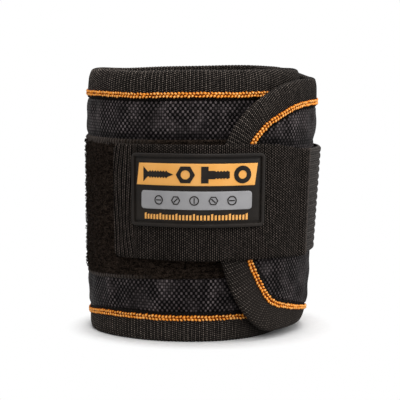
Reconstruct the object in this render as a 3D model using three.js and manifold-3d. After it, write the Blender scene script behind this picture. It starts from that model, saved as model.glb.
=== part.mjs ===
// Magnetic tool wristband, wrapped closed and standing on its lower edge.
// Millimetres, +Z up. The label faces -Y and +X is to its right.
// The padded band is one long strip rolled into a spiral. Its inner end lies inside, and its rounded
// outer end, the lap, covers it at the right. A strap sewn to the lap carries the hook tab and label.
// Every angle is in degrees, measured from the front (-Y) towards +X.
import * as THREE from "three";
import { mergeVertices } from "three/addons/utils/BufferGeometryUtils.js";
import Module from "manifold-3d";

const wasm = await Module();
wasm.setup();

// Band
const bandWidth = 90; // standing height, edge to edge
const turnRadius = 37.2; // outer face of the inner turn, at the top edge
const taper = 1.3; // how much smaller the radius is at the bottom edge
const lapSideTaper = 2; // and how much more so at the right, under the lap
const lean = 0.9; // how far the bottom edge sits towards -X
const edgeCurl = 2.7; // the bottom edge turns in at the right
const curlHeight = 12;
const coverThickness = 0.7;
const foamThickness = 2.4;
const liningThickness = 0.8;
const layerGap = 0.25;
const innerEndAngle = 141;
const riseStartAngle = -144; // the band starts to climb over its inner end here
const riseEndAngle = -209;
const stepAngle = 9;

// Binding tape, folded over the edges and held by a raised stitch row
const tapeThickness = 0.55;
const tapeReach = 10.5;
const foldRadius = 0.9;
const pinchWidth = 1.2; // the padding swells from the tape's edge over this width
const stitchInset = 8.1; // middle of the stitch row, from the edge
const stitchWidth = 2;
const stitchHeight = 0.35;
const stitchGap = 0.15;

// Lap, the rounded outer end of the band. Its corners are quarters of two unequal superellipses.
const lapHingeAngle = 135;
const lapTipAngle = 10.4;
const lapTipRise = 1.5; // above the middle of the band
const lapUpperTrim = 3; // the lap is this much narrower than the band at its upper edge
const lapLowerTrim = 2.4;
const upperCornerLength = 46.4;
const upperCornerPower = 2.5;
const lowerCornerLength = 25.7;
const lowerCornerPower = 2.07;
const hingeGap = 0.3;

// Hook-and-loop closure
const loopThickness = 0.75;
const loopWidth = 46;
const loopCentreDrop = 0.7; // below the middle of the band
const loopStartAngle = 121;
const loopEndAngle = -109;
const hookThickness = 0.6;
const hookStartAngle = -13;
const hookMargin = 1.5;

// Strap
const strapWidth = 38;
const strapRise = 2; // above the middle of the band
const webbingThickness = 1.2;
const tabEndAngle = -42;
const tabCorner = 2.5;
const tabHingeAngle = 39;
const webbingEndAngle = 63.5;
const webbingNarrowStartAngle = 30; // the webbing is drawn in from here to the elastic's width
const webbingNarrowEndAngle = 60;
const rampStartAngle = -30; // the strap climbs onto the lap between these angles
const rampEndAngle = 12;
const elasticWidth = 35;
const elasticDrop = 0.8; // below the middle of the strap
const elasticThickness = 1;
const elasticRibHeight = 0.3;
const elasticStandOff = 0.9; // its upper edge stands off the lap by this much midway
const elasticRibs = 15;
const elasticStartAngle = 58.5;
const strapHingeAngle = 118;
const elasticEndAngle = 129;
const overlapRampAngle = 5;

// Label, a soft moulded plate with raised fields
const labelLength = 45.8;
const labelHeight = 24;
const labelCentreAngle = 1;
const labelCentreRise = 3.4; // above the middle of the strap
const labelThickness = 0.7;
const labelRim = 1.3;
const labelRimHeight = 0.5;
const labelWallWidth = 0.25;
const fieldThickness = 0.3;
const fieldShift = 0.5; // the fields sit this far left of the middle
const plaqueCorner = 1.1;
// Each field's length, height and rise above the middle, as shares of the label's length and height
const barShares = { lengthShare: 0.882, heightShare: 0.3, riseShare: 0.217 };
const plaqueShares = { lengthShare: 0.821, heightShare: 0.25, riseShare: -0.133 };
const scaleShares = { lengthShare: 0.753, heightShare: 0.083, riseShare: -0.354 };

// Magnets
const magnetWidth = 10;
const magnetHeight = 20;
const magnetThickness = 1.2;
const magnetClearance = 0.3;
const magnetColumnAngles = [-9, -42, -75, -108, -141];
const magnetRowInset = 23.2; // middle of a row, from the band's edge
const cutOverrun = 2;

// Sizes that follow
const bandMiddle = bandWidth / 2;
const lapTipHeight = bandMiddle + lapTipRise;
const bandThickness = coverThickness + foamThickness + liningThickness + 2 * layerGap;
const tapeDip = tapeThickness + layerGap;
const tapeFoldDepth = 2 * tapeDip + coverThickness + layerGap + liningThickness;
const lapRise = bandThickness + 2 * layerGap + loopThickness;
const lapRadius = turnRadius + lapRise;
const strapMiddle = bandMiddle + strapRise;
const loopMiddle = bandMiddle - loopCentreDrop;
const webbingOnLap = lapRadius + stitchGap + stitchHeight + layerGap;
const webbingOnElastic = lapRadius + elasticThickness + elasticRibHeight + 2 * layerGap;
const webbingOnHook = turnRadius + loopThickness + hookThickness + 3 * layerGap;

const radians = THREE.MathUtils.degToRad;
const degrees = THREE.MathUtils.radToDeg;
const smooth = THREE.MathUtils.smoothstep;

// A point at an angle, height and radius. The whole roll narrows and leans towards its bottom edge,
// most of all at the right, where the lap presses on it.
function polar(angle, z, radius) {
  const a = radians(angle);
  const below = 1 - z / bandWidth;
  const underLap = Math.max(0, Math.sin(a)) ** 2;
  const curl = edgeCurl * Math.max(0, 1 - z / curlHeight) ** 2;
  const r = radius - taper * below - underLap * (lapSideTaper * below + curl);
  return new THREE.Vector3(r * Math.sin(a) - lean * below, -r * Math.cos(a), z);
}

// Radius of the band's outer face. Angles run down from the inner end, one turn and a half.
function bandRadius(angle) {
  return turnRadius + lapRise * smooth(-angle, -riseStartAngle, -riseEndAngle);
}

// The lap's angles come after a full turn.
const onSecondTurn = (angle) => angle - 360;

// Angles from one to another in equal steps that fall on a shared raster, so that layers nest.
function stations(from, to, step = stepAngle) {
  const sign = Math.sign(to - from);
  const inside = [];
  const low = Math.min(from, to);
  const high = Math.max(from, to);
  for (let k = Math.ceil(low / step); k * step <= high; k++) inside.push(k * step);
  const kept = inside.filter((a) => a - low > step / 4 && high - a > step / 4);
  if (sign < 0) kept.reverse();
  return [from, ...kept, to];
}

// A closed plate from a grid of points that each hold an angle, a height and two radii.
// A welded plate's last row is folded on itself, so it needs no end wall there.
function plate(grid, welded = false) {
  const rows = grid.length;
  const columns = grid[0].length;
  const position = [];
  for (const face of ["outer", "inner"])
    for (const row of grid)
      for (const node of row) position.push(...polar(node.angle, node.z, node[face]).toArray());
  const outer = (i, j) => i * columns + j;
  const inner = (i, j) => (rows + i) * columns + j;
  const index = [];
  const quad = (a, b, c, d) => index.push(a, b, c, a, c, d);
  for (let i = 0; i + 1 < rows; i++) {
    for (let j = 0; j + 1 < columns; j++) {
      quad(outer(i, j), outer(i + 1, j), outer(i + 1, j + 1), outer(i, j + 1));
      quad(inner(i, j), inner(i, j + 1), inner(i + 1, j + 1), inner(i + 1, j));
    }
    quad(outer(i, 0), inner(i, 0), inner(i + 1, 0), outer(i + 1, 0));
    const last = columns - 1;
    quad(outer(i, last), outer(i + 1, last), inner(i + 1, last), inner(i, last));
  }
  for (let j = 0; j + 1 < columns; j++) {
    quad(outer(0, j), outer(0, j + 1), inner(0, j + 1), inner(0, j));
    if (!welded) {
      const end = rows - 1;
      quad(outer(end, j), inner(end, j), inner(end, j + 1), outer(end, j + 1));
    }
  }
  return facingOut(position, index);
}

// A section of (inset, rise) points carried along path points that hold an angle, a height,
// a radius and an inward direction in the sheet.
function sweep(path, outlinePoints) {
  const drawn = outlinePoints.map(([inset, rise]) => new THREE.Vector2(inset, rise));
  const section = THREE.ShapeUtils.isClockWise(drawn) ? outlinePoints.toReversed() : outlinePoints;
  const position = [];
  const index = [];
  const count = section.length;
  for (const at of path)
    for (const [inset, rise] of section) {
      const angle = at.angle + degrees((inset * at.inwardAlong) / at.radius);
      const z = at.z + inset * at.inwardUp;
      position.push(...polar(angle, z, at.radius + rise).toArray());
    }
  for (let i = 0; i + 1 < path.length; i++)
    for (let j = 0; j < count; j++) {
      const a = i * count + j;
      const b = i * count + ((j + 1) % count);
      index.push(a, b, b + count, a, b + count, a + count);
    }
  const outline = section.map(([inset, rise]) => new THREE.Vector2(inset, rise));
  const end = (path.length - 1) * count;
  for (const [a, b, c] of THREE.ShapeUtils.triangulateShape(outline, [])) {
    index.push(c, b, a);
    index.push(end + a, end + b, end + c);
  }
  return facingOut(position, index);
}

// Merges shared vertices and turns the faces round if they point inwards.
function facingOut(position, index) {
  const raw = new THREE.BufferGeometry();
  raw.setAttribute("position", new THREE.Float32BufferAttribute(position, 3));
  raw.setIndex(index);
  const geometry = mergeVertices(raw);
  const points = geometry.attributes.position;
  const order = geometry.index.array;
  const [a, b, c] = [new THREE.Vector3(), new THREE.Vector3(), new THREE.Vector3()];
  let volume = 0;
  for (let i = 0; i < order.length; i += 3) {
    a.fromBufferAttribute(points, order[i]);
    b.fromBufferAttribute(points, order[i + 1]);
    c.fromBufferAttribute(points, order[i + 2]);
    volume += a.dot(b.cross(c));
  }
  if (volume < 0)
    for (let i = 0; i < order.length; i += 3) [order[i], order[i + 1]] = [order[i + 1], order[i]];
  geometry.computeVertexNormals();
  return geometry;
}

function toSolid(geometry) {
  const bare = geometry.index ? geometry.toNonIndexed() : geometry.clone();
  bare.deleteAttribute("normal");
  bare.deleteAttribute("uv");
  const merged = mergeVertices(bare);
  return new wasm.Manifold(
    new wasm.Mesh({
      numProp: 3,
      vertProperties: merged.attributes.position.array,
      triVerts: new Uint32Array(merged.index.array),
    }),
  );
}

function fromSolid(solid) {
  const mesh = solid.getMesh();
  const geometry = new THREE.BufferGeometry();
  geometry.setAttribute("position", new THREE.BufferAttribute(mesh.vertProperties, 3));
  geometry.setIndex(new THREE.BufferAttribute(mesh.triVerts, 1));
  geometry.computeVertexNormals();
  return geometry;
}

// Materials
function fabric(color, roughness = 0.95) {
  return new THREE.MeshStandardMaterial({ color, roughness, metalness: 0 });
}
const ballisticNylon = fabric("#2a2829", 0.8);
const bindingTape = fabric("#2b2826", 0.85);
const orangeThread = fabric("#f08a2c", 0.6);
const airMesh = fabric("#1f1f21");
const greyFoam = fabric("#57585a");
const loopPile = fabric("#1a1613");
const hookTape = fabric("#1c1b1b", 0.7);
const strapWebbing = fabric("#292523", 0.85);
const elasticWebbing = fabric("#363233", 0.85);
const blackVinyl = fabric("#2a2623", 0.55);
const orangeVinyl = fabric("#f4a045", 0.5);
const greyVinyl = fabric("#939394", 0.5);
const magnetSteel = new THREE.MeshStandardMaterial({ color: "#b9bcc0", roughness: 0.3, metalness: 1 });

const wristband = new THREE.Group();

function add(name, geometry, material) {
  const mesh = new THREE.Mesh(geometry, material);
  mesh.name = name;
  wristband.add(mesh);
}

// How far a sheet is pinched towards the middle of the band, from its distance to the edge.
function pinch(distance) {
  return 1 - smooth(distance, tapeReach + layerGap, tapeReach + layerGap + pinchWidth);
}

// Radii of the band's cover and lining at a distance from the nearest edge.
function coverRadii(angle, distance) {
  const outer = bandRadius(angle) - tapeDip * pinch(distance);
  return { outer, inner: outer - coverThickness };
}
function liningRadii(angle, distance) {
  const swell = bandThickness - tapeFoldDepth + tapeDip;
  const inner = bandRadius(angle) - bandThickness + swell * pinch(distance);
  return { outer: inner + liningThickness, inner };
}

// Heights that step down under the tape at both edges of a full-width sheet.
const edgeInset = tapeThickness + layerGap;
const pinchInsets = [edgeInset, tapeReach / 2, tapeReach + layerGap];
pinchInsets.push(tapeReach + layerGap + pinchWidth / 2, tapeReach + layerGap + pinchWidth);
const sheetHeights = [
  ...pinchInsets.map((inset) => bandWidth - inset),
  bandMiddle,
  ...pinchInsets.toReversed(),
];

// The main run of the band, from its inner end to the hinge line of the lap.
const ringEndAngle = onSecondTurn(lapHingeAngle);
const alongInnerEnd = (inset) => innerEndAngle - degrees(inset / turnRadius);
const ringAngles = [
  ...pinchInsets.map(alongInnerEnd),
  ...stations(alongInnerEnd(tapeReach + layerGap + pinchWidth), ringEndAngle).slice(1),
];

function ringSheet(radii) {
  return plate(
    ringAngles.map((angle) =>
      sheetHeights.map((z) => {
        const fromEnd = radians(innerEndAngle - angle) * turnRadius;
        const distance = Math.min(bandWidth - z, z, fromEnd);
        return { angle, z, ...radii(angle, distance) };
      }),
    ),
  );
}

// The lap's outline in the flat: the height of its upper or lower edge, this far in from the tip.
const lapHingeOffset = degrees(hingeGap / lapRadius);
const lapLength = radians(lapHingeAngle - lapTipAngle) * lapRadius;
const lapCorners = {
  upper: { edge: bandWidth, trim: -lapUpperTrim, length: upperCornerLength, power: upperCornerPower },
  lower: { edge: 0, trim: lapLowerTrim, length: lowerCornerLength, power: lowerCornerPower },
};
function lapEdgeHeight(fromTip, side) {
  const { edge, trim, length, power } = lapCorners[side];
  const share = Math.min(fromTip / length, 1);
  const round = (1 - (1 - share) ** power) ** (1 / power);
  const narrowing = 1 - smooth(fromTip, upperCornerLength, lapLength);
  return THREE.MathUtils.lerp(lapTipHeight, edge + trim * narrowing, round);
}
const lapAngle = (fromTip) => lapTipAngle + degrees(fromTip / lapRadius);

// Places along the lap, closer together towards the tip, where the outline turns.
const cornerSteps = 15;
const cornerCrowding = 1.35;
const cornerEndAngle = lapAngle(upperCornerLength);
const lapPlaces = stations(lapHingeAngle - lapHingeOffset, cornerEndAngle).map(
  (angle) => radians(angle - lapTipAngle) * lapRadius,
);
for (let k = 1; k <= cornerSteps; k++) {
  const share = (1 - Math.sin((k / cornerSteps) * (Math.PI / 2))) ** cornerCrowding;
  lapPlaces.push(upperCornerLength * share);
}

// A point of the lap's upper or lower edge, with the direction into the sheet.
function lapEdge(fromTip, side) {
  if (!(fromTip > 0)) return { fromTip: 0, z: lapTipHeight, along: 1, up: 0 };
  const sign = side === "upper" ? 1 : -1;
  const nearby = fromTip / 1000;
  const rise = lapEdgeHeight(fromTip + nearby, side) - lapEdgeHeight(fromTip - nearby, side);
  const slant = Math.hypot(rise, 2 * nearby);
  const z = lapEdgeHeight(fromTip, side);
  return { fromTip, z, along: (sign * rise) / slant, up: (-sign * 2 * nearby) / slant };
}

function insetPoint(edge, inset) {
  return { inset, fromTip: edge.fromTip + inset * edge.along, z: edge.z + inset * edge.up };
}

// A sheet of the lap: ribs run from the upper edge down to the lower one and meet at the tip.
function lapSheet(insets, radii) {
  const grid = lapPlaces.map((place) => {
    const upper = insets.map((inset) => insetPoint(lapEdge(place, "upper"), inset));
    const lower = insets.map((inset) => insetPoint(lapEdge(place, "lower"), inset));
    const [a, b] = [upper.at(-1), lower.at(-1)];
    const middle = { inset: a.inset, fromTip: (a.fromTip + b.fromTip) / 2, z: (a.z + b.z) / 2 };
    return [...upper, middle, ...lower.toReversed()].map((p) => {
      const angle = lapAngle(p.fromTip);
      return { angle, z: p.z, ...radii(onSecondTurn(angle), p.inset) };
    });
  });
  return plate(grid, true);
}

// Shared edge paths of the tape and its stitch row.
function straightEdge(angles, z, up) {
  return angles.map((angle) => ({ angle, z, radius: bandRadius(angle), inwardAlong: 0, inwardUp: up }));
}
const tapeStart = alongInnerEnd(tapeReach + layerGap);
const tapeAngles = stations(tapeStart, ringEndAngle);
function lapPath() {
  const place = (edge) => ({
    angle: lapAngle(edge.fromTip),
    z: edge.z,
    radius: lapRadius,
    inwardAlong: edge.along,
    inwardUp: edge.up,
  });
  const upper = lapPlaces.map((fromTip) => place(lapEdge(fromTip, "upper")));
  const lower = lapPlaces.slice(0, -1).map((fromTip) => place(lapEdge(fromTip, "lower")));
  return [...upper, ...lower.toReversed()];
}
function innerEndPath(clearance) {
  const heights = [bandWidth, bandMiddle, curlHeight, tapeReach, tapeReach / 2, 0];
  return heights.map((height) => ({
    angle: innerEndAngle,
    z: THREE.MathUtils.clamp(height, clearance, bandWidth - clearance),
    radius: turnRadius,
    inwardAlong: -1,
    inwardUp: 0,
  }));
}

const foldCorner = foldRadius * (1 - Math.SQRT1_2);
const tapeSection = [
  [tapeReach, 0],
  [tapeReach / 2, 0],
  [foldRadius, 0],
  [foldCorner, -foldCorner],
  [0, -foldRadius],
  [0, foldRadius - tapeFoldDepth],
  [foldCorner, foldCorner - tapeFoldDepth],
  [foldRadius, -tapeFoldDepth],
  [tapeReach / 2, -tapeFoldDepth],
  [tapeReach, -tapeFoldDepth],
  [tapeReach, tapeThickness - tapeFoldDepth],
  [tapeReach / 2, tapeThickness - tapeFoldDepth],
  [tapeThickness, tapeThickness - tapeFoldDepth],
  [tapeThickness, -tapeThickness],
  [tapeReach / 2, -tapeThickness],
  [tapeReach, -tapeThickness],
];
const stitchSection = [
  [stitchInset - stitchWidth / 2, stitchGap],
  [stitchInset - stitchWidth / 4, stitchGap + stitchHeight],
  [stitchInset + stitchWidth / 4, stitchGap + stitchHeight],
  [stitchInset + stitchWidth / 2, stitchGap],
];

add("outer_cover", ringSheet(coverRadii), ballisticNylon);
add("mesh_lining", ringSheet(liningRadii), airMesh);
for (const [name, section, material] of [
  ["binding_tape", tapeSection, bindingTape],
  ["orange_stitching", stitchSection, orangeThread],
]) {
  add(name + "_top", sweep(straightEdge(tapeAngles, bandWidth, -1), section), material);
  add(name + "_bottom", sweep(straightEdge(tapeAngles, 0, 1), section), material);
  add(name + "_lap", sweep(lapPath(), section), material);
}
add("binding_tape_inner_end", sweep(innerEndPath(0), tapeSection), bindingTape);
const innerStitches = sweep(innerEndPath(stitchInset - stitchWidth), stitchSection);
add("orange_stitching_inner_end", innerStitches, orangeThread);
add("lap_cover", lapSheet(pinchInsets, coverRadii), ballisticNylon);
add("lap_lining", lapSheet(pinchInsets, liningRadii), airMesh);

// Foam padding, with a window for each magnet
const foamInset = tapeReach + layerGap + pinchWidth + layerGap;
function foamRadii(angle) {
  const outer = bandRadius(angle) - coverThickness - layerGap;
  return { outer, inner: outer - foamThickness };
}
const foamGrid = stations(alongInnerEnd(foamInset), ringEndAngle).map((angle) =>
  [bandWidth - foamInset, foamInset].map((z) => ({ angle, z, ...foamRadii(angle) })),
);
let foam = toSolid(plate(foamGrid));

// A magnet's place: flat against the padding, its long side up.
function magnetMatrix(angle, z) {
  const radius = bandRadius(angle) - coverThickness - layerGap - foamThickness / 2;
  const centre = polar(angle, z, radius);
  const up = polar(angle, z + magnetHeight / 2, radius).sub(centre).normalize();
  const outward = polar(angle, z, radius + foamThickness).sub(centre).normalize();
  const across = new THREE.Vector3().crossVectors(outward, up).normalize();
  outward.crossVectors(up, across);
  const sagitta = magnetWidth ** 2 / (8 * radius);
  centre.addScaledVector(outward, -sagitta / 2);
  return new THREE.Matrix4().makeBasis(across, outward, up).setPosition(centre);
}

const windowBox = new THREE.BoxGeometry(
  magnetWidth + 2 * magnetClearance,
  foamThickness + 2 * cutOverrun,
  magnetHeight + 2 * magnetClearance,
);
magnetColumnAngles.forEach((angle, column) => {
  [bandWidth - magnetRowInset, magnetRowInset].forEach((z, row) => {
    const matrix = magnetMatrix(angle, z);
    foam = foam.subtract(toSolid(windowBox.clone().applyMatrix4(matrix)));
    const magnet = new THREE.BoxGeometry(magnetWidth, magnetThickness, magnetHeight);
    const name = `magnet_${row ? "lower" : "upper"}_${column + 1}`;
    add(name, magnet.applyMatrix4(matrix), magnetSteel);
  });
});
add("foam_padding", fromSolid(foam), greyFoam);
add("lap_foam", lapSheet([foamInset], foamRadii), greyFoam);

// A patch that follows a radius function of the angle, between an upper and a lower edge.
function patch(angles, edges, innerRadius, thickness) {
  return plate(
    angles.map((angle) =>
      edges(angle).map((z) => {
        const inner = innerRadius(angle);
        return { angle, z, outer: inner + thickness, inner };
      }),
    ),
  );
}
const straight = (middle, width) => () => [middle + width / 2, middle - width / 2];

// How far a rounded corner cuts in, at a distance from the end.
function cornerCut(distance, radius) {
  return distance < radius ? radius - Math.sqrt(radius ** 2 - (radius - distance) ** 2) : 0;
}
const cornerPlaces = (radius) => [0, 1, 2, 3].map((k) => radius * (1 - Math.cos((k * Math.PI) / 6)));

add(
  "loop_patch",
  patch(
    stations(loopStartAngle, loopEndAngle),
    straight(loopMiddle, loopWidth),
    (angle) => bandRadius(angle) + layerGap,
    loopThickness,
  ),
  loopPile,
);

// Inner face of the webbing, from the hook patch up onto the lap and over the elastic's end
function webbingRadius(angle) {
  const onLap = THREE.MathUtils.lerp(
    webbingOnHook,
    webbingOnLap,
    smooth(angle, rampStartAngle, rampEndAngle),
  );
  const rise = smooth(angle, elasticStartAngle - overlapRampAngle, elasticStartAngle);
  return onLap + (webbingOnElastic - webbingOnLap) * rise;
}

// Upper and lower edge of the webbing, drawn in towards the elastic and rounded at the tab's end
function strapEdges(angle) {
  const drawn = smooth(angle, webbingNarrowStartAngle, webbingNarrowEndAngle);
  const width = THREE.MathUtils.lerp(strapWidth, elasticWidth + layerGap, drawn);
  const middle = strapMiddle - elasticDrop * drawn;
  const fromEnd = radians(angle - tabEndAngle) * webbingOnHook;
  const cut = cornerCut(fromEnd, tabCorner);
  return [middle + width / 2 - cut, middle - width / 2 + cut];
}
const strapStep = stepAngle / 2;
const tabHingeOffset = degrees(hingeGap / webbingOnLap);
const tabCornerAngles = cornerPlaces(tabCorner).map((place) => tabEndAngle + degrees(place / webbingOnHook));
const tabAngles = [
  ...stations(tabHingeAngle - tabHingeOffset, tabCornerAngles.at(-1), strapStep).slice(0, -1),
  ...tabCornerAngles.toReversed(),
];
add("webbing_tab", patch(tabAngles, strapEdges, webbingRadius, webbingThickness), strapWebbing);
add(
  "webbing_strap",
  patch(
    stations(webbingEndAngle, tabHingeAngle, strapStep),
    strapEdges,
    webbingRadius,
    webbingThickness,
  ),
  strapWebbing,
);
const hookMarginAngle = degrees(hookMargin / webbingOnHook);
add(
  "hook_patch",
  patch(
    stations(hookStartAngle, tabEndAngle + hookMarginAngle, strapStep),
    straight(strapMiddle, strapWidth - 2 * hookMargin),
    (angle) => webbingRadius(angle) - layerGap - hookThickness,
    hookThickness,
  ),
  hookTape,
);

// Elastic webbing, ribbed along its length on its outer face
const elasticTop = strapMiddle - elasticDrop + elasticWidth / 2;
const ribHeights = [];
for (let k = 0; k <= 2 * elasticRibs; k++)
  ribHeights.push(elasticTop - (k * elasticWidth) / (2 * elasticRibs));
function elastic(from, to) {
  return plate(
    stations(from, to).map((angle) => {
      const along = THREE.MathUtils.inverseLerp(webbingEndAngle, strapHingeAngle, angle);
      const bow = along > 0 && along < 1 ? Math.sin(Math.PI * along) : 0;
      return ribHeights.map((z, k) => {
        const inner = lapRadius + layerGap + elasticStandOff * bow * (1 - k / (2 * elasticRibs));
        return { angle, z, outer: inner + elasticThickness + (k % 2) * elasticRibHeight, inner };
      });
    }),
  );
}
const strapHingeOffset = degrees(hingeGap / lapRadius);
add("elastic_strap", elastic(strapHingeAngle, elasticStartAngle), elasticWebbing);
add("elastic_sewn_end", elastic(elasticEndAngle, strapHingeAngle + strapHingeOffset), elasticWebbing);

// Label plate with a raised rim, and its raised fields
const labelMiddle = strapMiddle + labelCentreRise;
const labelFace = (angle) => webbingRadius(angle) + webbingThickness + layerGap;
const labelAngle = (along) => labelCentreAngle + degrees(along / webbingOnLap);
const fieldAngle = (along) => labelAngle(along - fieldShift);
const rimSteps = [0, labelRim, labelRim + labelWallWidth];

function labelPlate() {
  const alongEnds = rimSteps.map((step) => labelLength / 2 - step);
  const heightEnds = rimSteps.map((step) => labelHeight / 2 - step);
  const fieldSteps = 8;
  const field = [];
  for (let k = 1; k < fieldSteps; k++) field.push(alongEnds[2] * (1 - (2 * k) / fieldSteps));
  const alongs = [...alongEnds, ...field, ...alongEnds.toReversed().map((v) => -v)];
  const heights = [...heightEnds, ...heightEnds.toReversed().map((v) => -v)];
  return plate(
    alongs.map((along) =>
      heights.map((height) => {
        const inside = Math.min(labelLength / 2 - Math.abs(along), labelHeight / 2 - Math.abs(height));
        const raised = inside <= labelRim + labelWallWidth / 2 ? labelRimHeight : 0;
        const angle = labelAngle(along);
        const inner = labelFace(angle);
        return { angle, z: labelMiddle + height, outer: inner + labelThickness + raised, inner };
      }),
    ),
  );
}
add("label_plate", labelPlate(), blackVinyl);

// A raised field of the label, with rounded corners if it has any.
function labelField(shares, corner = 0) {
  const half = (labelLength * shares.lengthShare) / 2;
  const halfHeight = (labelHeight * shares.heightShare) / 2;
  const middle = labelMiddle + labelHeight * shares.riseShare;
  const steps = 8;
  const places = corner ? cornerPlaces(corner) : [0];
  const alongs = places.map((place) => half - place);
  for (let k = 1; k < steps; k++) alongs.push((half - corner) * (1 - (2 * k) / steps));
  alongs.push(...places.toReversed().map((place) => place - half));
  return plate(
    alongs.map((along) => {
      const angle = fieldAngle(along);
      const cut = cornerCut(half - Math.abs(along), corner);
      const inner = labelFace(angle) + labelThickness + stitchGap;
      const edges = [middle + halfHeight - cut, middle - halfHeight + cut];
      return edges.map((z) => ({ angle, z, outer: inner + fieldThickness, inner }));
    }),
  );
}
add("label_bar", labelField(barShares), orangeVinyl);
add("label_plaque", labelField(plaqueShares, plaqueCorner), greyVinyl);
add("label_scale", labelField(scaleShares), orangeVinyl);

// The part's origin is the middle of its base.
const bounds = new THREE.Box3().setFromObject(wristband);
const centre = bounds.getCenter(new THREE.Vector3());
wristband.position.set(-centre.x, -centre.y, -bounds.min.z);
const root = new THREE.Group();
root.add(wristband);

export default root;
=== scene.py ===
# Magnetic tool wristband, wrapped closed: the looks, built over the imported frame.
# Lengths are millimetres and angles are degrees from the front, until a mesh is made.
import math

import bmesh
import bpy
import numpy as np
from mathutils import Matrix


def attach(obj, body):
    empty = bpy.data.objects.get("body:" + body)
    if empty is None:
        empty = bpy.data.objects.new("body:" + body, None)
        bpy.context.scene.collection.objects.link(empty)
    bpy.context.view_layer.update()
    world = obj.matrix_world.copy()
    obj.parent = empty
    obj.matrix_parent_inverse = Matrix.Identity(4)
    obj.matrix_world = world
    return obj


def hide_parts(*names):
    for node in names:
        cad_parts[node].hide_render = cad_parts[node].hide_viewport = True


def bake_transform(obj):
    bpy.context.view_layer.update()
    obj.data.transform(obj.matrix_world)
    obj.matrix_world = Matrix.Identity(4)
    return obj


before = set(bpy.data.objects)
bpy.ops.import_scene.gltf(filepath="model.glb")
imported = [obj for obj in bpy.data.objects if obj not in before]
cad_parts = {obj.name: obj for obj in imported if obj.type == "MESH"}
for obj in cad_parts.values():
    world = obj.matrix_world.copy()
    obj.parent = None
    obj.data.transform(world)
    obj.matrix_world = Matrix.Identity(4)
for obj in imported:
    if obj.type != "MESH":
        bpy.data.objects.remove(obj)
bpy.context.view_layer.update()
print("frame loaded:", len(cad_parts), "nodes")


# Puts a mesh, lamp or camera into the scene
def placeInScene(name, data):
    made = bpy.data.objects.new(name, data)
    bpy.context.scene.collection.objects.link(made)
    return made


# The camera, as the photo's perspective gives it
camera = {"place": (-0.001194, -0.56068, 0.0984), "pitchDown": 0.0964, "lens": 144.8, "sensor": 36}
cameraData = bpy.data.cameras.new("photoCamera")
cameraData.sensor_width = camera["sensor"]
cameraData.lens = camera["lens"]
photoCamera = placeInScene("photoCamera", cameraData)
photoCamera.location = camera["place"]
photoCamera.rotation_euler = (math.pi / 2 - camera["pitchDown"], 0, 0)
bpy.context.scene.camera = photoCamera

# The roll that every layer follows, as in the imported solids
roll = {
    "middle": (-2.9441, 1.92),
    "width": 90,
    "turnRadius": 37.2,
    "taper": 1.3,
    "lapSideTaper": 2,
    "lean": 0.9,
    "edgeCurl": 2.7,
    "curlHeight": 12,
    "lapRise": 5.65,
    "riseStart": 144,
    "riseEnd": 209,
    "innerEnd": 141,
    "sideSeam": 150,  # the lap's own pieces begin here, on the second turn
    "waver": 0.2,  # hand-rolled, so the whole roll is this uneven
    "rimWave": 0.3,
    "rimLean": 0.9,
    "rimFrom": 79,
    "highBack": 0.7,
    "highAngle": -188,
    "highSpread": 0.2,
    "rimRound": 0.25,
    "rimRoundFrom": 86.4,
    "tightTape": {"angle": -88, "spread": 24, "share": 0.27},  # the bottom tape's narrow place, at the left
}
lapRadius = roll["turnRadius"] + roll["lapRise"]


# Eases from nothing at low to one at high
def smooth(x, low, high):
    t = np.clip((np.asarray(x, float) - low) / (high - low), 0, 1)
    return t * t * (3 - 2 * t)


# Where a point of the roll is, from its angle, its height and its radius
def placed(angle, z, radius):
    a = np.radians(angle)
    z = np.asarray(z, float)
    below = 1 - z / roll["width"]
    underLap = np.maximum(0, np.sin(a)) ** 2
    curl = roll["edgeCurl"] * np.maximum(0, 1 - z / roll["curlHeight"]) ** 2
    r = radius - roll["taper"] * below - underLap * (roll["lapSideTaper"] * below + curl)
    uneven = 0.5 * np.sin(5 * a + 1.1 + z / 31) + 0.5 * np.sin(8 * a + 4 - z / 23)
    r = r + roll["waver"] * uneven
    for depth, start in (("rimLean", "rimFrom"), ("rimRound", "rimRoundFrom")):
        r = r - roll[depth] * np.clip((z - roll[start]) / (roll["width"] - roll[start]), 0, 1.2) ** 2
    wave = 0.6 * np.sin(3 * a + 0.4) + 0.4 * np.sin(7 * a + 2)
    atBack = np.exp((np.cos(a - math.radians(roll["highAngle"])) - 1) / roll["highSpread"])
    up = z + (roll["rimWave"] * wave + roll["highBack"] * atBack) * np.clip(z / roll["width"], 0, 1) ** 3
    x = r * np.sin(a) - roll["lean"] * below + roll["middle"][0]
    y = -r * np.cos(a) + roll["middle"][1]
    return np.stack(np.broadcast_arrays(x, y, up), -1) / 1000


# The band climbs onto its own inner end as it goes round
def bandRadius(angle):
    climb = smooth(-np.asarray(angle, float), roll["riseStart"], roll["riseEnd"])
    return roll["turnRadius"] + roll["lapRise"] * climb


# How wide the bottom tape is, as a share of its full width
def bottomTapeShare(angle):
    tight = roll["tightTape"]
    away = (np.asarray(angle, float) - tight["angle"]) / tight["spread"]
    return 1 - tight["share"] * np.exp(-(away**2))


def linearColour(hexText):
    parts = [int(hexText[i : i + 2], 16) / 255 for i in (1, 3, 5)]
    return tuple(c / 12.92 if c <= 0.04045 else ((c + 0.055) / 1.055) ** 2.4 for c in parts) + (1.0,)


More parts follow.
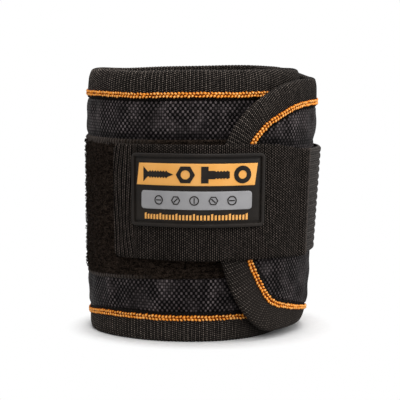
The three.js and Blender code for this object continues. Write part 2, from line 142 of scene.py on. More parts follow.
# Adds a node and gives back one of its outputs. A kind may carry its operation after a space. Inputs are
# values, hex colours or links, in the order of the sockets or in a dictionary by socket.
def add(tree, kind, *inputs, out=0, **settings):
    kind, *operation = kind.split(" ")
    made = tree.nodes.new(kind if "Node" in kind else "ShaderNode" + kind)
    if operation:
        made.operation = operation[0]
    for name, value in settings.items():
        setattr(made, name, value)
    bySocket = inputs[0] if inputs and isinstance(inputs[0], dict) else dict(enumerate(inputs))
    for socket, value in bySocket.items():
        if isinstance(value, bpy.types.NodeSocket):
            tree.links.new(value, made.inputs[socket])
        else:
            isColour = isinstance(value, str) and value.startswith("#")
            made.inputs[socket].default_value = linearColour(value) if isColour else value
    return made.outputs[out] if len(made.outputs) else made


def newMaterial(name):
    material = bpy.data.materials.new(name)
    material.use_nodes = True
    material.node_tree.nodes.clear()
    return material, material.node_tree


# The colour runs from dark to light with shade. relief is a height, its depth in metres and its strength.
def finishMaterial(tree, shade, dark, light, relief, roughness, level=0.5, metallic=0.0):
    colour = add(tree, "Mix", {0: shade, 6: dark, 7: light}, out=2, data_type="RGBA")
    sockets = {"Base Color": colour, "Roughness": roughness}
    sockets |= {"Specular IOR Level": level, "Metallic": metallic}
    if relief:
        height, depth, strength = relief
        sockets["Normal"] = add(tree, "Bump", {"Height": height, "Distance": depth, "Strength": strength})
    add(tree, "OutputMaterial", add(tree, "BsdfPrincipled", sockets))


# Closed meshes from grids of points

def closedMesh(name, points, faces, uv, material, sharpness=38, weld=True):
    mesh = bpy.data.meshes.new(name)
    mesh.from_pydata(points.reshape(-1, 3).tolist(), [], faces)
    loops = np.empty(len(mesh.loops), int)
    mesh.loops.foreach_get("vertex_index", loops)
    layer = mesh.uv_layers.new(name="cloth")
    layer.data.foreach_set("uv", uv.reshape(-1, 2)[loops].astype(np.float32).ravel())
    work = bmesh.new()
    work.from_mesh(mesh)
    if weld:
        bmesh.ops.remove_doubles(work, verts=work.verts, dist=1e-6)
        bmesh.ops.dissolve_degenerate(work, edges=work.edges, dist=1e-7)
    bmesh.ops.recalc_face_normals(work, faces=work.faces)
    if work.calc_volume(signed=True) < 0:
        bmesh.ops.reverse_faces(work, faces=work.faces)
    work.to_mesh(mesh)
    work.free()
    mesh.shade_smooth()
    mesh.set_sharp_from_angle(angle=math.radians(sharpness))
    mesh.materials.append(material)
    return placeInScene(name, mesh)


# A sheet on the roll between two radii, with walls round its border and its windows. cells says which
# squares are cloth.
def sheetMesh(name, angle, z, outer, inner, u, material, v=None, cells=None, **how):
    outer, inner = placed(angle, z, outer), placed(angle, z, inner)
    uv = np.stack([u, z if v is None else v], -1).reshape(-1, 2)
    rows, columns = outer.shape[:2]
    cells = np.ones((rows - 1, columns - 1), bool) if cells is None else cells
    at = np.arange(rows * columns).reshape(rows, columns)
    under = at + rows * columns
    a, b, c, d = (x[cells] for x in (at[:-1, :-1], at[1:, :-1], at[1:, 1:], at[:-1, 1:]))
    faces = np.stack([a, b, c, d], 1).tolist()
    faces += (np.stack([a, d, c, b], 1) + rows * columns).tolist()
    framed = np.zeros((rows + 1, columns + 1), bool)
    framed[1:-1, 1:-1] = cells
    lengthwise = framed[1:, 1:-1] != framed[:-1, 1:-1]
    for i, j in np.argwhere(lengthwise):
        faces.append([at[i, j], at[i, j + 1], under[i, j + 1], under[i, j]])
    crosswise = framed[1:-1, 1:] != framed[1:-1, :-1]
    for i, j in np.argwhere(crosswise):
        faces.append([at[i, j], under[i, j], under[i + 1, j], at[i + 1, j]])
    used = np.unique(np.concatenate([np.asarray(f) for f in faces]))
    renumber = np.full(2 * rows * columns, -1)
    renumber[used] = np.arange(len(used))
    points = np.concatenate([outer.reshape(-1, 3), inner.reshape(-1, 3)])[used]
    both = np.concatenate([uv, uv])[used]
    faces = [[int(renumber[v]) for v in f] for f in faces]
    return closedMesh(name, points, faces, both, material, **how)


# A closed section carried along stations: points is (stations, section points, 3)
def sweptMesh(name, points, uv, material, **how):
    stations, count = points.shape[:2]
    at = np.arange(stations * count).reshape(stations, count)
    after = np.roll(at, -1, axis=1)
    faces = np.stack([at[:-1], after[:-1], after[1:], at[1:]], -1).reshape(-1, 4).tolist()
    faces.append(at[0][::-1].tolist())
    faces.append(at[-1].tolist())
    return closedMesh(name, points, faces, uv, material, **how)


# Runs along the edges of the band and of its lap. A run holds its places, the way into the cloth, the
# length so far and how wide the tape is.

def lengthSoFar(steps):
    return np.concatenate([[0], np.cumsum(steps)])


def evenLengths(length, step):
    return np.linspace(0, length[-1], int(round(length[-1] / step)) + 1)


def grid(first, second):
    return np.meshgrid(first, second, indexing="ij")


def ringRun(z, up, step):
    angle = np.linspace(tapeStart, ringEnd, 6001)
    length = lengthSoFar(np.radians(np.abs(np.diff(angle))) * bandRadius(angle[1:]))
    even = evenLengths(length, step)
    angle = np.interp(even, length, angle)
    flat = np.zeros_like(angle)
    wide = bottomTapeShare(angle) if up > 0 else flat + 1
    radius, z, up = bandRadius(angle), flat + z, flat + up
    return dict(angle=angle, z=z, radius=radius, along=flat, up=up, length=even, wide=wide)


def innerEndRun(low, high, step):
    z = np.linspace(high, low, int(round((high - low) / step)) + 1)
    flat = np.zeros_like(z)
    angle, radius = flat + roll["innerEnd"], flat + roll["turnRadius"]
    return dict(angle=angle, z=z, radius=radius, along=flat - 1, up=flat, length=high - z, wide=flat + 1)


lap = {
    "hinge": 135,
    "bendEnd": 122,
    "tip": 10.4,
    "tipHeight": 46.5,
    "upper": {
        "edge": 90,
        "trim": -3,
        "length": 46.4,
        "power": 2.5,
        "steady": 66,
        "tapeAt": (0, 12, 20, 32, 60),  # lengths from the tip and how wide the tape is there
        "tapeShares": (1, 1.02, 1.06, 1, 1),
    },
    "lower": {
        "edge": 0,
        "trim": 2.4,
        "length": 25.7,
        "power": 2.07,
        "steady": 46.4,
        "tapeAt": (0, 3, 8, 13, 18, 23, 28, 35, 41, 46, 56, 72, 100),
        "tapeShares": (1.08, 1.2, 1.27, 1.21, 1.2, 1.19, 1.08, 0.88, 0.8, 0.7, 0.57, 0.57, 1),
    },
}
lapLength = math.radians(lap["hinge"] - lap["tip"]) * lapRadius
lapFarLength = math.radians(roll["sideSeam"] - lap["tip"]) * lapRadius


# The height of the lap's edge, this far from its tip
def lapEdgeHeight(fromTip, side):
    corner = lap[side]
    share = np.clip(fromTip / corner["length"], 0, 1)
    rounded = (1 - (1 - share) ** corner["power"]) ** (1 / corner["power"])
    narrowing = 1 - smooth(fromTip, corner["steady"], lapLength)
    edge = corner["edge"] + corner["trim"] * narrowing
    return lap["tipHeight"] + (edge - lap["tipHeight"]) * rounded


# The tape was laid by hand, so it is wider round the lower corner and narrower after it
def tapeWidth(fromTip, side):
    at, shares = lap[side]["tapeAt"], lap[side]["tapeShares"]
    wide = np.mean([np.interp(np.abs(fromTip + k), at, shares) for k in np.linspace(-3, 3, 7)], axis=0)
    return 1 + (wide - 1) * smooth(fromTip, 0, 2.2)


def lapAngle(fromTip):
    return lap["tip"] + np.degrees(np.asarray(fromTip) / lapRadius)


# The lap's outline from its far upper end round the tip to its far lower end
def lapRun(step):
    upperS = lapFarLength * (1 - np.sin(np.linspace(0, math.pi / 2, 4000))) ** 2.2
    lowerS = upperS[-2::-1]
    s = np.concatenate([upperS, lowerS])
    z = np.concatenate([lapEdgeHeight(upperS, "upper"), lapEdgeHeight(lowerS, "lower")])
    wide = np.concatenate([tapeWidth(upperS, "upper"), tapeWidth(lowerS, "lower")])
    length = lengthSoFar(np.hypot(np.diff(s), np.diff(z)))
    even = evenLengths(length, step)
    s, z, wide = (np.interp(even, length, values) for values in (s, z, wide))
    ds, dz = np.gradient(s), np.gradient(z)
    for values in (ds, dz):
        values[1:-1] = (values[:-2] + 2 * values[1:-1] + values[2:]) / 4
    along, up = -dz / np.hypot(ds, dz), ds / np.hypot(ds, dz)
    radius = np.full_like(s, lapRadius)
    return dict(angle=lapAngle(s), z=z, radius=radius, along=along, up=up, length=even, wide=wide)


# Points of a section that is (inset, rise) along a run
def alongRun(run, inset, rise):
    inset = inset * run["wide"][:, None]
    angle = run["angle"][:, None] + np.degrees(inset * run["along"][:, None] / run["radius"][:, None])
    z = run["z"][:, None] + inset * run["up"][:, None]
    return placed(angle, z, run["radius"][:, None] + rise)


# Materials. Each UV map holds millimetres: u along the strip and v across it.

def clothCoordinates(tree, wobble, wobbleSize):
    place = add(tree, "UVMap", uv_map="cloth")
    noise = add(tree, "TexNoise", {"Vector": place, "Scale": 1 / wobbleSize, "Detail": 2}, out="Color")
    centred = add(tree, "VectorMath SUBTRACT", noise, (0.5, 0.5, 0.5))
    shift = add(tree, "VectorMath SCALE", {0: centred, "Scale": 2 * wobble})
    place = add(tree, "VectorMath ADD", place, shift)
    return place, *add(tree, "SeparateXYZ", place, out=slice(2))


# One rounded thread for every whole cell, which is flat where its wave is under low
def threadCrown(tree, cell, low, *heights):
    wave = add(tree, "Math COSINE", add(tree, "Math MULTIPLY", cell, 2 * math.pi))
    return add(tree, "MapRange", wave, low, 1, *heights)


# Painted highlight: each float of thread gets a glint of its own brightness, and every second column is
# duller
def threadGlint(tree, column, row, least, second):
    cell = add(tree, "CombineXYZ", column, row)
    sparkle = add(tree, "TexWhiteNoise", {"Vector": cell}, noise_dimensions="2D")
    glint = add(tree, "MapRange", sparkle, 0, 1, least, 1)
    paired = add(tree, "MapRange", add(tree, "Math FLOORED_MODULO", column, 2), 0, 1, 1, second)
    return add(tree, "Math MULTIPLY", glint, paired)


# Soft upright creases in the cover below the loop patch, as the place along the strip and the slope of each
creases = {
    "places": ((-57, 0.2), (-32.5, -0.28), (-11.1, 0.35), (6.1, 0.2)),
    "level": 16,
    "top": 22,
    "half": 1.7,
    "height": 0.38,
    "foot": 3,
    "fade": 2,
    # how much painted highlight each crease carries
    "rubbed": 0.6,
}

# The height where the cover is pressed in along the loop patch and the strap, and the painted shade there
pressed = {"onBand": 68.2, "onLap": 65.6, "reach": 1.5, "shade": 0.45, "depth": 0.5, "half": 1.7}

# Ballistic nylon: plain weave of thick flat yarns in black. Every crossing carries a small grey glint, a
# painted highlight
ballistic = {
    "yarnAlong": 0.83,
    "yarnAcross": 1.0,
    "dark": "#000000",
    "light": "#6f6667",
    "patch": 7.5,
    "dimmerBelow": (15, 70),  # heights between which its painted glints grow to full strength upwards
    "pressedMiddle": 10,  # along the strip, and how far its painted shade reaches to both sides
    "pressedReach": (76, 82),
    "pulled": (38, 54),  # between these places it comes to be drawn tight round the side, and its painted glints even out
    "eased": (74, 92),  # and between these it eases again
}
nylonMaterial, tree = newMaterial("ballisticNylonWoven")
place, u, v = clothCoordinates(tree, 0.12, 5)
uCell = add(tree, "Math DIVIDE", u, ballistic["yarnAlong"])
vCell = add(tree, "Math DIVIDE", v, ballistic["yarnAcross"])
uFloor, vFloor = (add(tree, "Math FLOOR", cell) for cell in (uCell, vCell))
parity = add(tree, "Math FLOORED_MODULO", add(tree, "Math ADD", uFloor, vFloor), 2)
halfTurns = [add(tree, "Math MULTIPLY", cell, math.pi) for cell in (uCell, vCell)]
uHump, vHump = (add(tree, "Math SINE", turn) for turn in halfTurns)
hump = add(tree, "Math ABSOLUTE", add(tree, "Math MULTIPLY", uHump, vHump))
patches = add(tree, "TexNoise", {"Vector": place, "Scale": 1 / ballistic["patch"], "Detail": 1.0})
flatter = add(tree, "MapRange", patches, 0.47, 0.66, 0.03, 0.42)
over = add(tree, "Math MAXIMUM", parity, flatter)
height = add(tree, "Math MULTIPLY", add(tree, "Math POWER", hump, 0.55), over)
glint = threadGlint(tree, uFloor, vFloor, 0.45, 1)
worn = add(tree, "TexNoise", {"Vector": place, "Scale": 0.17, "Detail": 3.0})
glintStrength = add(tree, "MapRange", worn, 0.35, 0.65, 0.45, 1.12)
dimmerBelow = add(tree, "MapRange", v, *ballistic["dimmerBelow"], 0.78, 1)
glintStrength = add(tree, "Math MULTIPLY", glintStrength, dimmerBelow)
# Painted shade darkens the cloth where it is pressed in above the loop patch and the strap
pressedAt = add(tree, "MapRange", u, 5, 40, pressed["onBand"], pressed["onLap"])
above = add(tree, "Math ABSOLUTE", add(tree, "Math SUBTRACT", v, pressedAt))
clear = (above, 0.6, pressed["reach"], pressed["shade"], 1)
clear = add(tree, "MapRange", *clear, interpolation_type="SMOOTHSTEP")
fromMiddle = add(tree, "Math ABSOLUTE", add(tree, "Math SUBTRACT", u, ballistic["pressedMiddle"]))
outside = add(tree, "MapRange", fromMiddle, *ballistic["pressedReach"])
clear = add(tree, "Math MAXIMUM", clear, outside)
glintStrength = add(tree, "Math MULTIPLY", glintStrength, clear)
# The creases stand proud, and each carries a painted highlight as a band of extra glint
creaseGlint = add(tree, "MapRange", v, creases["top"] - 1.0, creases["top"] + 1.0, creases["rubbed"], 0)
for at, slope in creases["places"]:
    upright = add(tree, "Math MULTIPLY_ADD", v, -slope, creases["level"] * slope - at)
    beside = add(tree, "Math ABSOLUTE", add(tree, "Math ADD", u, upright))
    crease = add(tree, "MapRange", beside, 0, 1.6 * creases["half"], 1, 0, interpolation_type="SMOOTHSTEP")
    glintStrength = add(tree, "Math MULTIPLY_ADD", crease, creaseGlint, glintStrength)
# Where the lap is pulled round the side, the painted glints of single crossings give way to an even tone
pulled = add(tree, "MapRange", u, *ballistic["pulled"], 0, 0.75, interpolation_type="SMOOTHSTEP")
eased = add(tree, "MapRange", u, *ballistic["eased"], 1, 0, interpolation_type="SMOOTHSTEP")
close = add(tree, "Math MULTIPLY", pulled, eased)
# Painted highlight: each crossing's glint goes into the base colour
crossing = add(tree, "Math MULTIPLY", height, glint)
crossing = add(tree, "Mix", {0: close, 2: crossing, 3: 0.15}, data_type="FLOAT")
bright = add(tree, "Math MULTIPLY", crossing, glintStrength)
rough = add(tree, "MapRange", height, 0, 1, 0.75, 0.48)
finishMaterial(tree, bright, ballistic["dark"], ballistic["light"], (height, 0.00022, 0.7), rough, 0.04)

# Grosgrain binding tape: ribs across the tape, each broken into short floats of thread whose crowns carry
# painted highlights
grosgrain = {
    "rib": 0.66,
    "float": 0.72,
    "selvedge": 1.3,
    "dark": "#050404",
    "dusty": "#110f0e",
    "light": "#9f9288",
    "footGlintSpan": (0.009, 0.022),  # places in metres, here and below
    "paintedTopLightSpan": (0.04, 0.08),
    "tightBeyond": (0.008, 0.016),
    "tightBelow": (0.03, 0.046),
    "clean": (0.025, 0.07),
}
tapeMaterial, tree = newMaterial("grosgrainPolyesterTape")
place, u, v = clothCoordinates(tree, 0.1, 4)
uCell = add(tree, "Math DIVIDE", u, grosgrain["rib"])
column = add(tree, "Math ROUND", uCell)
ribTop = threadCrown(tree, uCell, -0.7)
stagger = add(tree, "Math MULTIPLY", column, 0.25)
vCell = add(tree, "Math ADD", add(tree, "Math DIVIDE", v, grosgrain["float"]), stagger)
floatTop = threadCrown(tree, vCell, -0.6)
height = add(tree, "Math MULTIPLY", ribTop, floatTop)
ribShade = add(tree, "TexWhiteNoise", {"W": column}, noise_dimensions="1D")
ribTone = add(tree, "MapRange", ribShade, 0, 1, 0.6, 1)
glint = threadGlint(tree, column, add(tree, "Math ROUND", vCell), 0.42, 0.45)
glint = add(tree, "Math MULTIPLY", glint, ribTone)
inSelvedge = add(tree, "MapRange", v, grosgrain["selvedge"] - 0.2, grosgrain["selvedge"] + 0.2, 0.12, 1)
# Painted light from above: the glints grow stronger from the stitching to the fold and with height towards
# the rim; they are stronger again near the very foot
rubbed = add(tree, "MapRange", v, 2, 9, 0.72, 0.92)
spot = add(tree, "TexCoord", out=3)
toRight, standing = (add(tree, "SeparateXYZ", spot, out=axis) for axis in (0, 2))
footGlint = add(tree, "MapRange", standing, *grosgrain["footGlintSpan"], 1.25, 0.8)
paintedTopLight = add(tree, "MapRange", standing, *grosgrain["paintedTopLightSpan"], 1, 1.5)
glintByHeight = add(tree, "Math MULTIPLY", footGlint, paintedTopLight)
rubbed = add(tree, "Math MULTIPLY", rubbed, glintByHeight)
body = add(tree, "Math MULTIPLY", add(tree, "Math MULTIPLY", height, glint), rubbed)
# Round the lower corner of the lap the tape is drawn tight, and there its painted glints give way to a flat
# dull tone
beyond = add(tree, "MapRange", toRight, *grosgrain["tightBeyond"])
lowDown = add(tree, "MapRange", standing, *grosgrain["tightBelow"], 0.6, 0)
drawnTight = add(tree, "Math MULTIPLY", beyond, lowDown)
body = add(tree, "Mix", {0: drawnTight, 2: body, 3: 0.05}, data_type="FLOAT")
bright = add(tree, "Math MULTIPLY", body, inSelvedge)
clean = add(tree, "MapRange", standing, *grosgrain["clean"])
ground = add(tree, "Mix", {0: clean, 6: grosgrain["dusty"], 7: grosgrain["dark"]}, out=2, data_type="RGBA")
finishMaterial(tree, bright, ground, grosgrain["light"], (height, 0.0002, 0.6), 0.72, 0.03)

# Bonded polyester thread, orange and black: twisted and a little glossy. Each stitch is painted darker low
# down, where it dives under the next, as painted shade, and lighter along its crest as a painted highlight
orangeThreads = {"dark": "#6e2a00", "mid": "#fd9002", "light": "#ffdc92"}
blackThreads = {"dark": "#0e0d0c", "mid": "#2c2927", "light": "#4a4643"}
threadTwist = 0.00035


def threadMaterial(name, threads, roughness):
    material, tree = newMaterial(name)
    kept = ("shade", "depth", "crest")
    shade, depth, crest = (add(tree, "Attribute", out=2, attribute_name=name) for name in kept)
    # Painted highlight along each stitch's crest, stronger on some stitches than others
    worn = add(tree, "MapRange", shade, 0, 1, 0.35, 1)
    lit = add(tree, "Math MULTIPLY", crest, worn)
    # Painted shade: each stitch runs from the dark colour low down to mid at its top
    body = add(tree, "Mix", {0: depth, 6: threads["dark"], 7: threads["mid"]}, out=2, data_type="RGBA")
    place = add(tree, "TexCoord", out=3)
    strands = add(tree, "TexNoise", {"Vector": place, "Scale": 1 / threadTwist, "Detail": 1})
    finishMaterial(tree, lit, body, threads["light"], (strands, 0.00008, 0.6), roughness, 0.08)
    return material


orangeThread = threadMaterial("bondedPolyesterThreadOrange", orangeThreads, 0.45)
blackThread = threadMaterial("bondedPolyesterThreadBlack", blackThreads, 0.5)

# Spacer mesh lining: knitted black polyester with open round holes in staggered rows; the sheet is whole,
# and the holes are painted dark as painted shade
spacer = {"pitch": 3.2, "row": 1.6, "hole": 0.95, "dark": "#080808", "light": "#3a3a3d"}
meshMaterial, tree = newMaterial("spacerMeshKnitted")
place, u, v = clothCoordinates(tree, 0.08, 6)
vRow = add(tree, "Math DIVIDE", v, spacer["row"])
row = add(tree, "Math ROUND", vRow)
stagger = add(tree, "Math MULTIPLY", row, 0.5)
uCell = add(tree, "Math ADD", add(tree, "Math DIVIDE", u, spacer["pitch"]), stagger)
uOff = add(tree, "Math SUBTRACT", uCell, add(tree, "Math ROUND", uCell))
uOff = add(tree, "Math MULTIPLY", uOff, spacer["pitch"])
vOff = add(tree, "Math MULTIPLY", add(tree, "Math SUBTRACT", vRow, row), 1.5 * spacer["row"])
fromHole = add(tree, "VectorMath LENGTH", add(tree, "CombineXYZ", uOff, vOff), out=1)
wall = add(tree, "MapRange", fromHole, spacer["hole"] * 0.6, spacer["hole"])
knit = add(tree, "TexNoise", {"Vector": place, "Scale": 2.2, "Detail": 3})
height = add(tree, "Math MULTIPLY_ADD", knit, 0.3, wall)
shade = add(tree, "Math MULTIPLY", wall, knit)
finishMaterial(tree, shade, spacer["dark"], spacer["light"], (height, 0.0005, 0.8), 0.85, 0.05)

# Polyurethane foam: open cells, matt mid grey, with painted shade darkening its pits
foamMaterial, tree = newMaterial("polyurethaneFoamCut")
cells = add(tree, "TexVoronoi", {"Vector": add(tree, "TexCoord", out=3), "Scale": 1100})
finishMaterial(tree, cells, "#3f4041", "#6d6e70", (cells, 0.0004, 0.7), 0.95)

# Brushed nylon loop: a felted pile of fine loops, deep black with a faint brown bloom on its tips
pile = {
    "dark": "#020100",
    "light": "#3c322b",
    "selvedge": "#6b6460",
    "clump": 1.3,
    "selvedgeThread": 1.3,
    "bareLow": 22.5,
    "bareTop": 65.3,
    "bareFade": 0.3,
    "leftward": (-42, -12),
}
pileMaterial, tree = newMaterial("brushedNylonLoopPile")
# The nap is brushed round the band, so its clumps are longer than they are tall
place = add(tree, "VectorMath MULTIPLY", add(tree, "TexCoord", out=3), (640, 640, 1500))
felted = {"Vector": place, "Scale": 1 / pile["clump"], "Detail": 4.0, "Roughness": 0.7}
clumps = add(tree, "TexNoise", felted)
fibres = add(tree, "TexNoise", {"Vector": place, "Scale": 2.6, "Detail": 3.0, "Distortion": 1.5})
evened = add(tree, "Math MULTIPLY_ADD", clumps, 0.55, 0.225)
height = add(tree, "Math MULTIPLY", evened, fibres)
bright = add(tree, "MapRange", height, 0.205, 0.33)
colour = add(tree, "Mix", {0: bright, 6: pile["dark"], 7: pile["light"]}, out=2, data_type="RGBA")
# Its selvedges carry no pile, so their upright threads show at the left
u, v = clothCoordinates(tree, 0.5, 1.6)[1:]
fade = pile["bareFade"]
bareLow = add(tree, "MapRange", v, pile["bareLow"] - fade, pile["bareLow"] + fade, 1, 0)
bareTop = add(tree, "MapRange", v, pile["bareTop"] - fade, pile["bareTop"] + fade, 0, 0.75)
bare = add(tree, "Math MAXIMUM", bareLow, bareTop)
leftward = add(tree, "MapRange", u, *pile["leftward"], 1, 0)
threads = threadCrown(tree, add(tree, "Math DIVIDE", u, pile["selvedgeThread"]), -1, 0.05, 1)
bare = add(tree, "Math MULTIPLY", add(tree, "Math MULTIPLY", bare, leftward), threads)
finishMaterial(tree, bare, colour, pile["selvedge"], (height, 0.0007, 0.9), 0.95, 0.02)

# Nylon hook tape: woven ground with stiff clear-black hooks
hookMaterial, tree = newMaterial("nylonHookMoulded")
grain = add(tree, "TexNoise", {"Vector": add(tree, "TexCoord", out=3), "Scale": 900, "Detail": 3})
finishMaterial(tree, grain, "#121212", "#2c2b2a", (grain, 0.0002, 0.5), 0.5, 0.3)


# Woven strap webbing: warp ribs with weft floats between them, dull black, with painted highlights in
# brown-grey on the thread crowns. Knitted elastic is the same with its ribs lengthwise, greyer and more
# even.
def webbingMaterial(name, weave):
    material, tree = newMaterial(name)
    place, u, v = clothCoordinates(tree, 0.08, 4)
    ribAxis, weftAxis = (u, v) if weave["alongU"] else (v, u)
    ribCell = add(tree, "Math DIVIDE", ribAxis, weave["rib"])
    column = add(tree, "Math ROUND", ribCell)
    # Past this place the webbing is drawn out, so that single crossings show more than ribs
    evenEnd = weave["evenFrom"] + weave["evenFade"]
    ribLow = add(tree, "MapRange", u, weave["evenFrom"], evenEnd, -0.35, -0.95)
    weftLow = add(tree, "MapRange", u, weave["evenFrom"], evenEnd, -1.1, -0.5)
    ribTop = threadCrown(tree, ribCell, ribLow)
    stagger = add(tree, "Math MULTIPLY", column, 0.5)
    weftCell = add(tree, "Math ADD", add(tree, "Math DIVIDE", weftAxis, weave["weft"]), stagger)
    weftTop = threadCrown(tree, weftCell, weftLow)
    # The folded hem shows whole ribs, without single floats
    hemmed = add(tree, "MapRange", u, *weave["hem"], 0.3, 0)
    weftTop = add(tree, "Math MAXIMUM", weftTop, hemmed)
    height = add(tree, "Math MULTIPLY", ribTop, weftTop)
    glint = threadGlint(tree, column, add(tree, "Math ROUND", weftCell), 0.4, 0.82)
    rubbed = add(tree, "TexNoise", {"Vector": place, "Scale": 0.12, "Detail": 3})
    glintStrength = add(tree, "MapRange", rubbed, 0.3, 0.7, 0.8, 1.15)
    bright = add(tree, "Math MULTIPLY", add(tree, "Math MULTIPLY", height, glint), glintStrength)
    # The webbing is lighter over the last few millimetres before its end
    endLighter = add(tree, "MapRange", u, weave["lighterFrom"], weave["lighterFrom"] + 0.8, 0, 0.3)
    bright = add(tree, "Math ADD", bright, endLighter)
    relief = (height, 0.00018, 0.6)
    finishMaterial(tree, bright, weave["dark"], weave["light"], relief, weave["roughness"], 0.03)
    return material


nowhere = 200  # past the end of the elastic, which is neither drawn out nor lighter at its end
webbingWeave = {
    "rib": 0.69,
    "weft": 0.86,
    "alongU": True,
    "lighterFrom": 75,
    "evenFrom": 52,
    "evenFade": 9,
    "hem": (8, 10),
    "dark": "#020201",
    "light": "#6b605a",
    "roughness": 0.75,
}
elasticWeave = {
    "rib": 0.78,
    "weft": 1.1,
    "alongU": False,
    "lighterFrom": nowhere,
    "evenFrom": nowhere,
    "evenFade": 9,
    "hem": (8, 10),
    "dark": "#302d2b",
    "light": "#66625f",
    "roughness": 0.72,
}
strapMaterial = webbingMaterial("polypropyleneWebbingWoven", webbingWeave)
elasticMaterial = webbingMaterial("knittedElasticRibbed", elasticWeave)


# Moulded soft vinyl: satin, with a fine spark-eroded grain and dust-grey rubbed edges
vinyl = {"roughness": 0.5, "uneven": 0.06, "grain": 2600.0, "blotch": 160.0}


def vinylMaterial(name, base, rubbedColour):
    material, tree = newMaterial(name)
    place = add(tree, "TexCoord", out=3)
    grain = add(tree, "TexNoise", {"Vector": place, "Scale": vinyl["grain"], "Detail": 2.0})
    blotch = add(tree, "TexNoise", {"Vector": place, "Scale": vinyl["blotch"], "Detail": 3.0})
    rubbed = add(tree, "MapRange", blotch, 0.35, 0.75)
    roughness, uneven = vinyl["roughness"], vinyl["uneven"]
    rough = add(tree, "MapRange", blotch, 0, 1, roughness - uneven, roughness + uneven)
    finishMaterial(tree, rubbed, base, rubbedColour, (grain, 0.00003, 0.4), rough, 0.12)
    return material


blackVinyl = vinylMaterial("softVinylMouldedBlack", "#1c1917", "#28231f")
orangeVinyl = vinylMaterial("softVinylMouldedOrange", "#f6b05a", "#faba6a")
greyVinyl = vinylMaterial("softVinylMouldedGrey", "#99989a", "#a3a2a3")

# Nickel-plated block magnets: bright warm grey metal, faintly hazed by handling
magnetMaterial, tree = newMaterial("nickelPlatedMagnet")
haze = add(tree, "TexNoise", {"Vector": add(tree, "TexCoord", out=3), "Scale": 300, "Detail": 4})
rough = add(tree, "MapRange", haze, 0, 1, 0.2, 0.38)
finishMaterial(tree, haze, "#b3b4b2", "#c9cac8", None, rough, metallic=1)
for name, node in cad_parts.items():
    if name.startswith("magnet"):
        node.data.materials.clear()
        node.data.materials.append(magnetMaterial)
print("materials made")


# Stitches, pile tufts and hooks are grown by Geometry Nodes along paths and over faces

def newTree(name, inputs):
    tree = bpy.data.node_groups.new(name, "GeometryNodeTree")
    tree.interface.new_socket("Geometry", in_out="INPUT", socket_type="NodeSocketGeometry")
    for socket, kind in inputs:
        tree.interface.new_socket(socket, in_out="INPUT", socket_type="NodeSocket" + kind)
    tree.interface.new_socket("Geometry", in_out="OUTPUT", socket_type="NodeSocketGeometry")
    return tree, tree.nodes.new("NodeGroupInput").outputs


# Gives each instance its own shade and makes one plain mesh of them
def endTree(tree, instances, seed, material):
    shade = add(tree, "FunctionNodeRandomValue", {2: 0, 3: 1, "Seed": seed}, out=1, data_type="FLOAT")
    shades = {"Geometry": instances, "Name": "shade", "Value": shade}
    stored = add(tree, "GeometryNodeStoreNamedAttribute", shades, data_type="FLOAT", domain="INSTANCE")
    plain = add(tree, "GeometryNodeRealizeInstances", stored)
    shaded = add(tree, "GeometryNodeSetMaterial", {"Geometry": plain, "Material": material})
    add(tree, "NodeGroupOutput", shaded)


# Stitches at an even pitch along a path, turned by the path's own normal, each a little different
sizes = [("Stitch", "Object"), ("Pitch", "Float"), ("Slant", "Float"), ("Looseness", "Float")]
stitchTree, given = newTree("stitchRow", sizes + [("Seed", "Int"), ("Thread", "Material")])
line = add(stitchTree, "GeometryNodeMeshToCurve", given["Geometry"])
spots = {"Curve": line, "Length": given["Pitch"]}
spots = add(stitchTree, "GeometryNodeResampleCurve", spots, mode="LENGTH")
outward = add(stitchTree, "GeometryNodeInputNamedAttribute", {"Name": "outward"}, data_type="FLOAT_VECTOR")
side = add(stitchTree, "GeometryNodeInputNamedAttribute", {"Name": "side"}, data_type="FLOAT")
tangent = add(stitchTree, "GeometryNodeInputTangent")
axes = {"primary_axis": "Z", "secondary_axis": "X"}
facing = add(stitchTree, "FunctionNodeAxesToRotation", outward, tangent, **axes)
jitter = {2: -1, 3: 1, "Seed": given["Seed"]}
jitter = add(stitchTree, "FunctionNodeRandomValue", jitter, out=1, data_type="FLOAT")
loose = add(stitchTree, "Math MULTIPLY", jitter, given["Looseness"])
slanted = add(stitchTree, "Math MULTIPLY_ADD", side, given["Slant"], loose)
turn = add(stitchTree, "FunctionNodeEulerToRotation", add(stitchTree, "CombineXYZ", 0, 0, slanted))
turned = add(stitchTree, "FunctionNodeRotateRotation", facing, turn, rotation_space="LOCAL")
grown = add(stitchTree, "Math MULTIPLY_ADD", loose, 0.5, 1)
bead = add(stitchTree, "GeometryNodeObjectInfo", {"Object": given["Stitch"]}, out="Geometry")
laid = {"Points": spots, "Instance": bead, "Rotation": turned, "Scale": grown}
endTree(stitchTree, add(stitchTree, "GeometryNodeInstanceOnPoints", laid), 5, given["Thread"])

# Tufts or hooks scattered over a face, leaning at random
sizes = [("Tuft", "Object"), ("Spacing", "Float"), ("Density", "Float"), ("Lean", "Float")]
tuftTree, given = newTree("tuftField", sizes + [("Seed", "Int"), ("Fibre", "Material")])
spread = {
    "Mesh": given["Geometry"],
    "Distance Min": given["Spacing"],
    "Density Max": given["Density"],
    "Seed": given["Seed"],
}
scatter = "GeometryNodeDistributePointsOnFaces"
scattered = add(tuftTree, scatter, spread, out=slice(3), distribute_method="POISSON")
lean = {0: (-1, -1, -math.pi), 1: (1, 1, math.pi), "Seed": given["Seed"]}
lean = add(tuftTree, "FunctionNodeRandomValue", lean, data_type="FLOAT_VECTOR")
amount = add(tuftTree, "CombineXYZ", given["Lean"], given["Lean"], 1)
leaning = add(tuftTree, "FunctionNodeEulerToRotation", add(tuftTree, "VectorMath MULTIPLY", lean, amount))
turned = add(tuftTree, "FunctionNodeRotateRotation", scattered[2], leaning, rotation_space="LOCAL")
